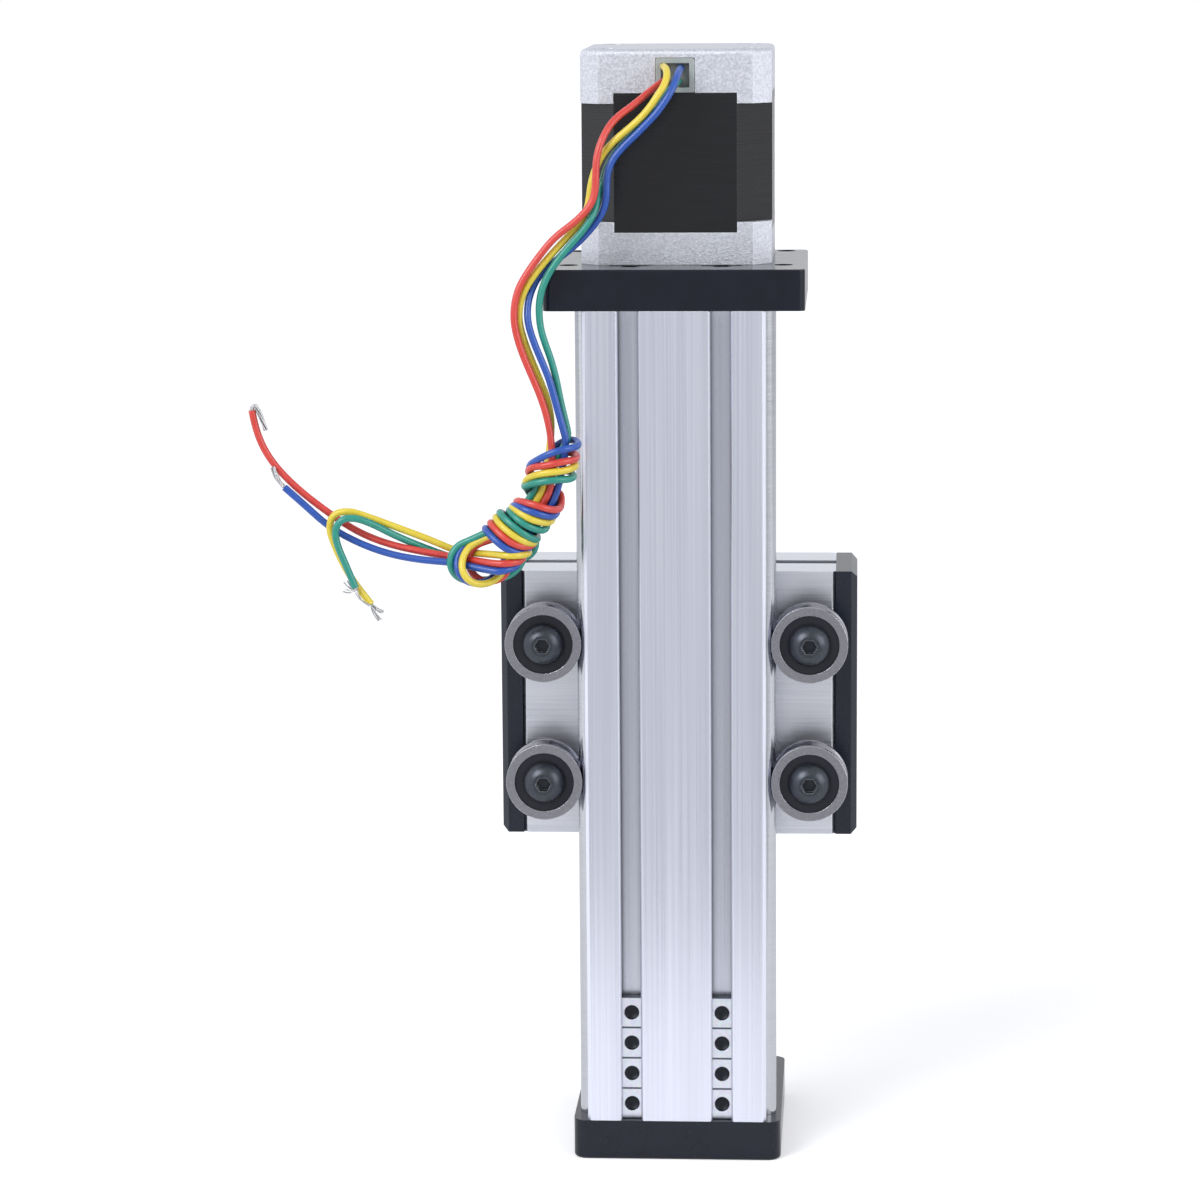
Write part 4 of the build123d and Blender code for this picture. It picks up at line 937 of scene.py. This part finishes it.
# %% Inner parts
polyurethane = finish(
    "red_polyurethane", ("#a3241b", "#b9332a", "#cc5247"), (1, 1, 1), 0.01, 0.38,
    {"Subsurface Weight": 0.15, "Subsurface Scale": 1 * mm},
)[0]
dress(polyurethane, "coupling_spider")
enamelled_copper = finish(
    "enamelled_copper_winding", ("#8c3f1c", "#b8622f", "#cf7d45"), (0.5, 0.5, 6), 0.1, 0.28,
    {"Metallic": 0.8, "Coat Weight": 0.5},
)[0]
dress(enamelled_copper, "motor_coils")
rotor_steel = finish(
    "rotor_lamination_steel", ("#77777b", "#909094", "#b0b0b4"), (6, 6, 0.5), 0.01, 0.4, {"Metallic": 1},
)[0]
dress(rotor_steel, "rotor_cups")
magnet_alloy = finish(
    "ground_magnet_alloy", ("#47484c", "#56575b", "#7a7b80"), (0.6, 0.6, 0.6), 0.006, 0.45,
    {"Metallic": 0.7},
)[0]
dress(magnet_alloy, "rotor_magnet")
outlet_plastic = finish(
    "moulded_natural_nylon", ("#8f9795", "#a9b0ae", "#d2d6d4"), (0.5, 0.5, 0.5), 0.006, 0.42,
    {"Subsurface Weight": 0.1, "Subsurface Scale": 0.5 * mm},
)[0]
dress(outlet_plastic, "lead_frame")
print("inner finishes made")

# %% [markdown]
# ## Insulation
#
# The leads are tinned copper in soft PVC. PVC is slightly glossy, and its colour is even but
# for a faint mottle and the draw of the die. Each colour is its own material, and a thin coat
# gives the sharp line of light that soft plastic shows along a thin wire.

# %% Wire insulation
insulation_tones = {
    "red": ("#c4352d", "#d8473d", "#e86a5c"), "yellow": ("#d3bc2c", "#e4d04a", "#f0e07c"),
    "green": ("#168070", "#229484", "#4db39f"), "blue": ("#15459a", "#2056b2", "#4f7ccc"),
}
for colour, tones in insulation_tones.items():
    insulation = finish(
        colour + "_pvc_insulation", tones, (1.5, 1.5, 1.5), 0.01, 0.36,
        {"Coat Weight": 0.25, "Coat Roughness": 0.2},
    )[0]
    wires[colour].data.materials.append(insulation)
print("insulation on", len(wires), "wires")

# %% [markdown]
# The bared strands are copper dipped in tin, so they are a plain soft silver with hardly any
# grain: small uneven spots where the tin ran thick are all that shows at this size.

# %% Tinned copper
tinned_copper = finish(
    "tinned_copper", ("#a8a9ab", "#c9cacb", "#e0e0e0"), (0.3, 0.3, 0.3), 0.02, 0.3, {"Metallic": 1},
)[0]
for end in bared_ends.values():
    end.data.materials.append(tinned_copper)
print("tinned copper on", len(bared_ends), "ends")

# %% [markdown]
# The screw's track is ground after hardening, so its grain runs with the thread and is drawn
# across the axis, close to the small helix angle of the track. A film of oil makes the whole
# screw a little glossier than a dry bearing ring, and the groove gets painted shade.

# %% Ground screw
track_steel = finish(
    "ground_and_oiled_screw_steel", ("#97999e", "#b4b6bb", "#e2e3e6"), (6, 6, 0.2), 0.002, 0.2,
    {"Metallic": 1},
)[0]
threaded_screw.data.materials.append(track_steel)
print(track_steel.name, "on the screw")

# %% [markdown]
# ## Floor and light
#
# The part stands on a pale floor in soft light from all round: one large lamp over the
# viewer's left shoulder, a weaker one from the right and an even sky. The floor looks white
# because its paint adds some light of its own, by Light Path: towards the camera, and a little
# towards mirrors, so that metal shows the pale background too. Matt surfaces get none of it,
# and the floor still takes the part's shadow.

# %% Floor
floor_front = -200 * mm
floor_size = 12
glossy_lift = 0.25
near_lift, far_lift = 0.3, 0.5
near_reach, far_reach = 0.15, 1.2
bm = bmesh.new()
bmesh.ops.create_grid(bm, x_segments=1, y_segments=1, size=floor_size / 2)
bmesh.ops.translate(bm, verts=bm.verts, vec=(0, floor_front + floor_size / 2, 0))
floor_mesh = bpy.data.meshes.new("floor")
bm.to_mesh(floor_mesh)
bm.free()
floor = bpy.data.objects.new("floor", floor_mesh)
bpy.context.scene.collection.objects.link(floor)
floor_paint = bpy.data.materials.new("pale_floor_paint")
floor_paint.use_nodes = True
floor_paint.node_tree.nodes.clear()
seen_by = add(floor_paint, "ShaderNodeLightPath", {})
spot = add(floor_paint, "ShaderNodeTexCoord", {})
distance = add(floor_paint, "ShaderNodeVectorMath", {"Vector": spot.outputs["Object"]}, operation="LENGTH")
own_light = add(
    floor_paint, "ShaderNodeMapRange",
    {
        "Value": distance.outputs["Value"], "From Min": near_reach, "From Max": far_reach,
        "To Min": near_lift, "To Max": far_lift,
    },
)
for_camera = add(
    floor_paint, "ShaderNodeMath",
    {"Value": seen_by.outputs["Is Camera Ray"], "Value_001": own_light.outputs["Result"]},
    operation="MULTIPLY",
)
lift = add(
    floor_paint, "ShaderNodeMath",
    {
        "Value": seen_by.outputs["Is Glossy Ray"], "Value_001": glossy_lift,
        "Value_002": for_camera.outputs["Value"],
    },
    operation="MULTIPLY_ADD",
)
paint = add(floor_paint, "ShaderNodeBsdfDiffuse", {"Color": linear("#fafafa")})
own = add(floor_paint, "ShaderNodeEmission", {"Color": (1, 1, 1, 1), "Strength": lift.outputs["Value"]})
both = add(
    floor_paint, "ShaderNodeAddShader",
    {"Shader": paint.outputs["BSDF"], "Shader_001": own.outputs["Emission"]},
)
add(floor_paint, "ShaderNodeOutputMaterial", {"Surface": both.outputs["Shader"]})
floor_mesh.materials.append(floor_paint)
print("floor", floor_size, "m wide")

# %% [markdown]
# The lamps are squares of light, and their size is what softens the edge of a shadow. Both aim
# about half way up the part: the key from the upper left models the shapes, and the fill from
# the right, under half as strong, keeps the shaded sides readable.

# %% Lamps
def area_lamp(name, place, aim, size, power):
    """A square lamp at a place in metres that faces a point."""
    lamp = bpy.data.lights.new(name, "AREA")
    lamp.size = size
    lamp.energy = power
    holder = bpy.data.objects.new(name, lamp)
    holder.location = place
    holder.rotation_euler = (Vector(aim) - Vector(place)).to_track_quat("-Z", "Y").to_euler()
    bpy.context.scene.collection.objects.link(holder)


middle = (0, 0, 0.12)
lamp_size = 0.7
key_power, fill_power = 11, 5
area_lamp("key", (-0.7, -0.9, 0.9), middle, lamp_size, key_power)
area_lamp("fill", (0.9, -0.6, 0.5), middle, lamp_size, fill_power)
print("two lamps of", key_power, "and", fill_power, "watts")

# %% [markdown]
# The world has three faces. Matt surfaces get an even soft light. Mirrors see a studio that is
# white behind the part, greyer in front, where the camera and the viewer stand, and brightest
# at both sides, where the soft boxes are: that draws the pale lines along chamfered edges and
# rounded corners. The camera itself sees plain white.

# %% World
studio_slope = (-0.16, 0.12, 0.04)
studio_level = 0.86
side_boxes = 0.55
soft_level = 0.6
world = bpy.data.worlds.new("studio")
bpy.context.scene.world = world
world.use_nodes = True
world.node_tree.nodes.clear()
path = add(world, "ShaderNodeLightPath", {})
direction = add(world, "ShaderNodeTexCoord", {})
slope = add(
    world, "ShaderNodeVectorMath", {"Vector": direction.outputs["Generated"], "Vector_001": studio_slope},
    operation="DOT_PRODUCT",
)
level = add(
    world, "ShaderNodeMath", {"Value": slope.outputs["Value"], "Value_001": studio_level}, operation="ADD",
)
across = add(world, "ShaderNodeSeparateXYZ", {"Vector": direction.outputs["Generated"]})
squared = add(
    world, "ShaderNodeMath", {"Value": across.outputs["X"], "Value_001": across.outputs["X"]},
    operation="MULTIPLY",
)
level = add(
    world, "ShaderNodeMath",
    {"Value": squared.outputs["Value"], "Value_001": side_boxes, "Value_002": level.outputs["Value"]},
    operation="MULTIPLY_ADD",
)
soft = add(world, "ShaderNodeBackground", {"Color": linear("#f7f8ff"), "Strength": soft_level})
mirrored = add(
    world, "ShaderNodeBackground", {"Color": linear("#fbfcff"), "Strength": level.outputs["Value"]},
)
white = add(world, "ShaderNodeBackground", {"Color": (1, 1, 1, 1), "Strength": 1})
glossy = add(
    world, "ShaderNodeMixShader",
    {
        "Fac": path.outputs["Is Glossy Ray"], "Shader": soft.outputs["Background"],
        "Shader_001": mirrored.outputs["Background"],
    },
)
seen = add(
    world, "ShaderNodeMixShader",
    {
        "Fac": path.outputs["Is Camera Ray"], "Shader": glossy.outputs["Shader"],
        "Shader_001": white.outputs["Background"],
    },
)
add(world, "ShaderNodeOutputWorld", {"Surface": seen.outputs["Shader"]})
bpy.context.scene.view_settings.view_transform = "Standard"
print("lit")

# %% [markdown]
# ## End
#

# %% End
print("end of the scene")
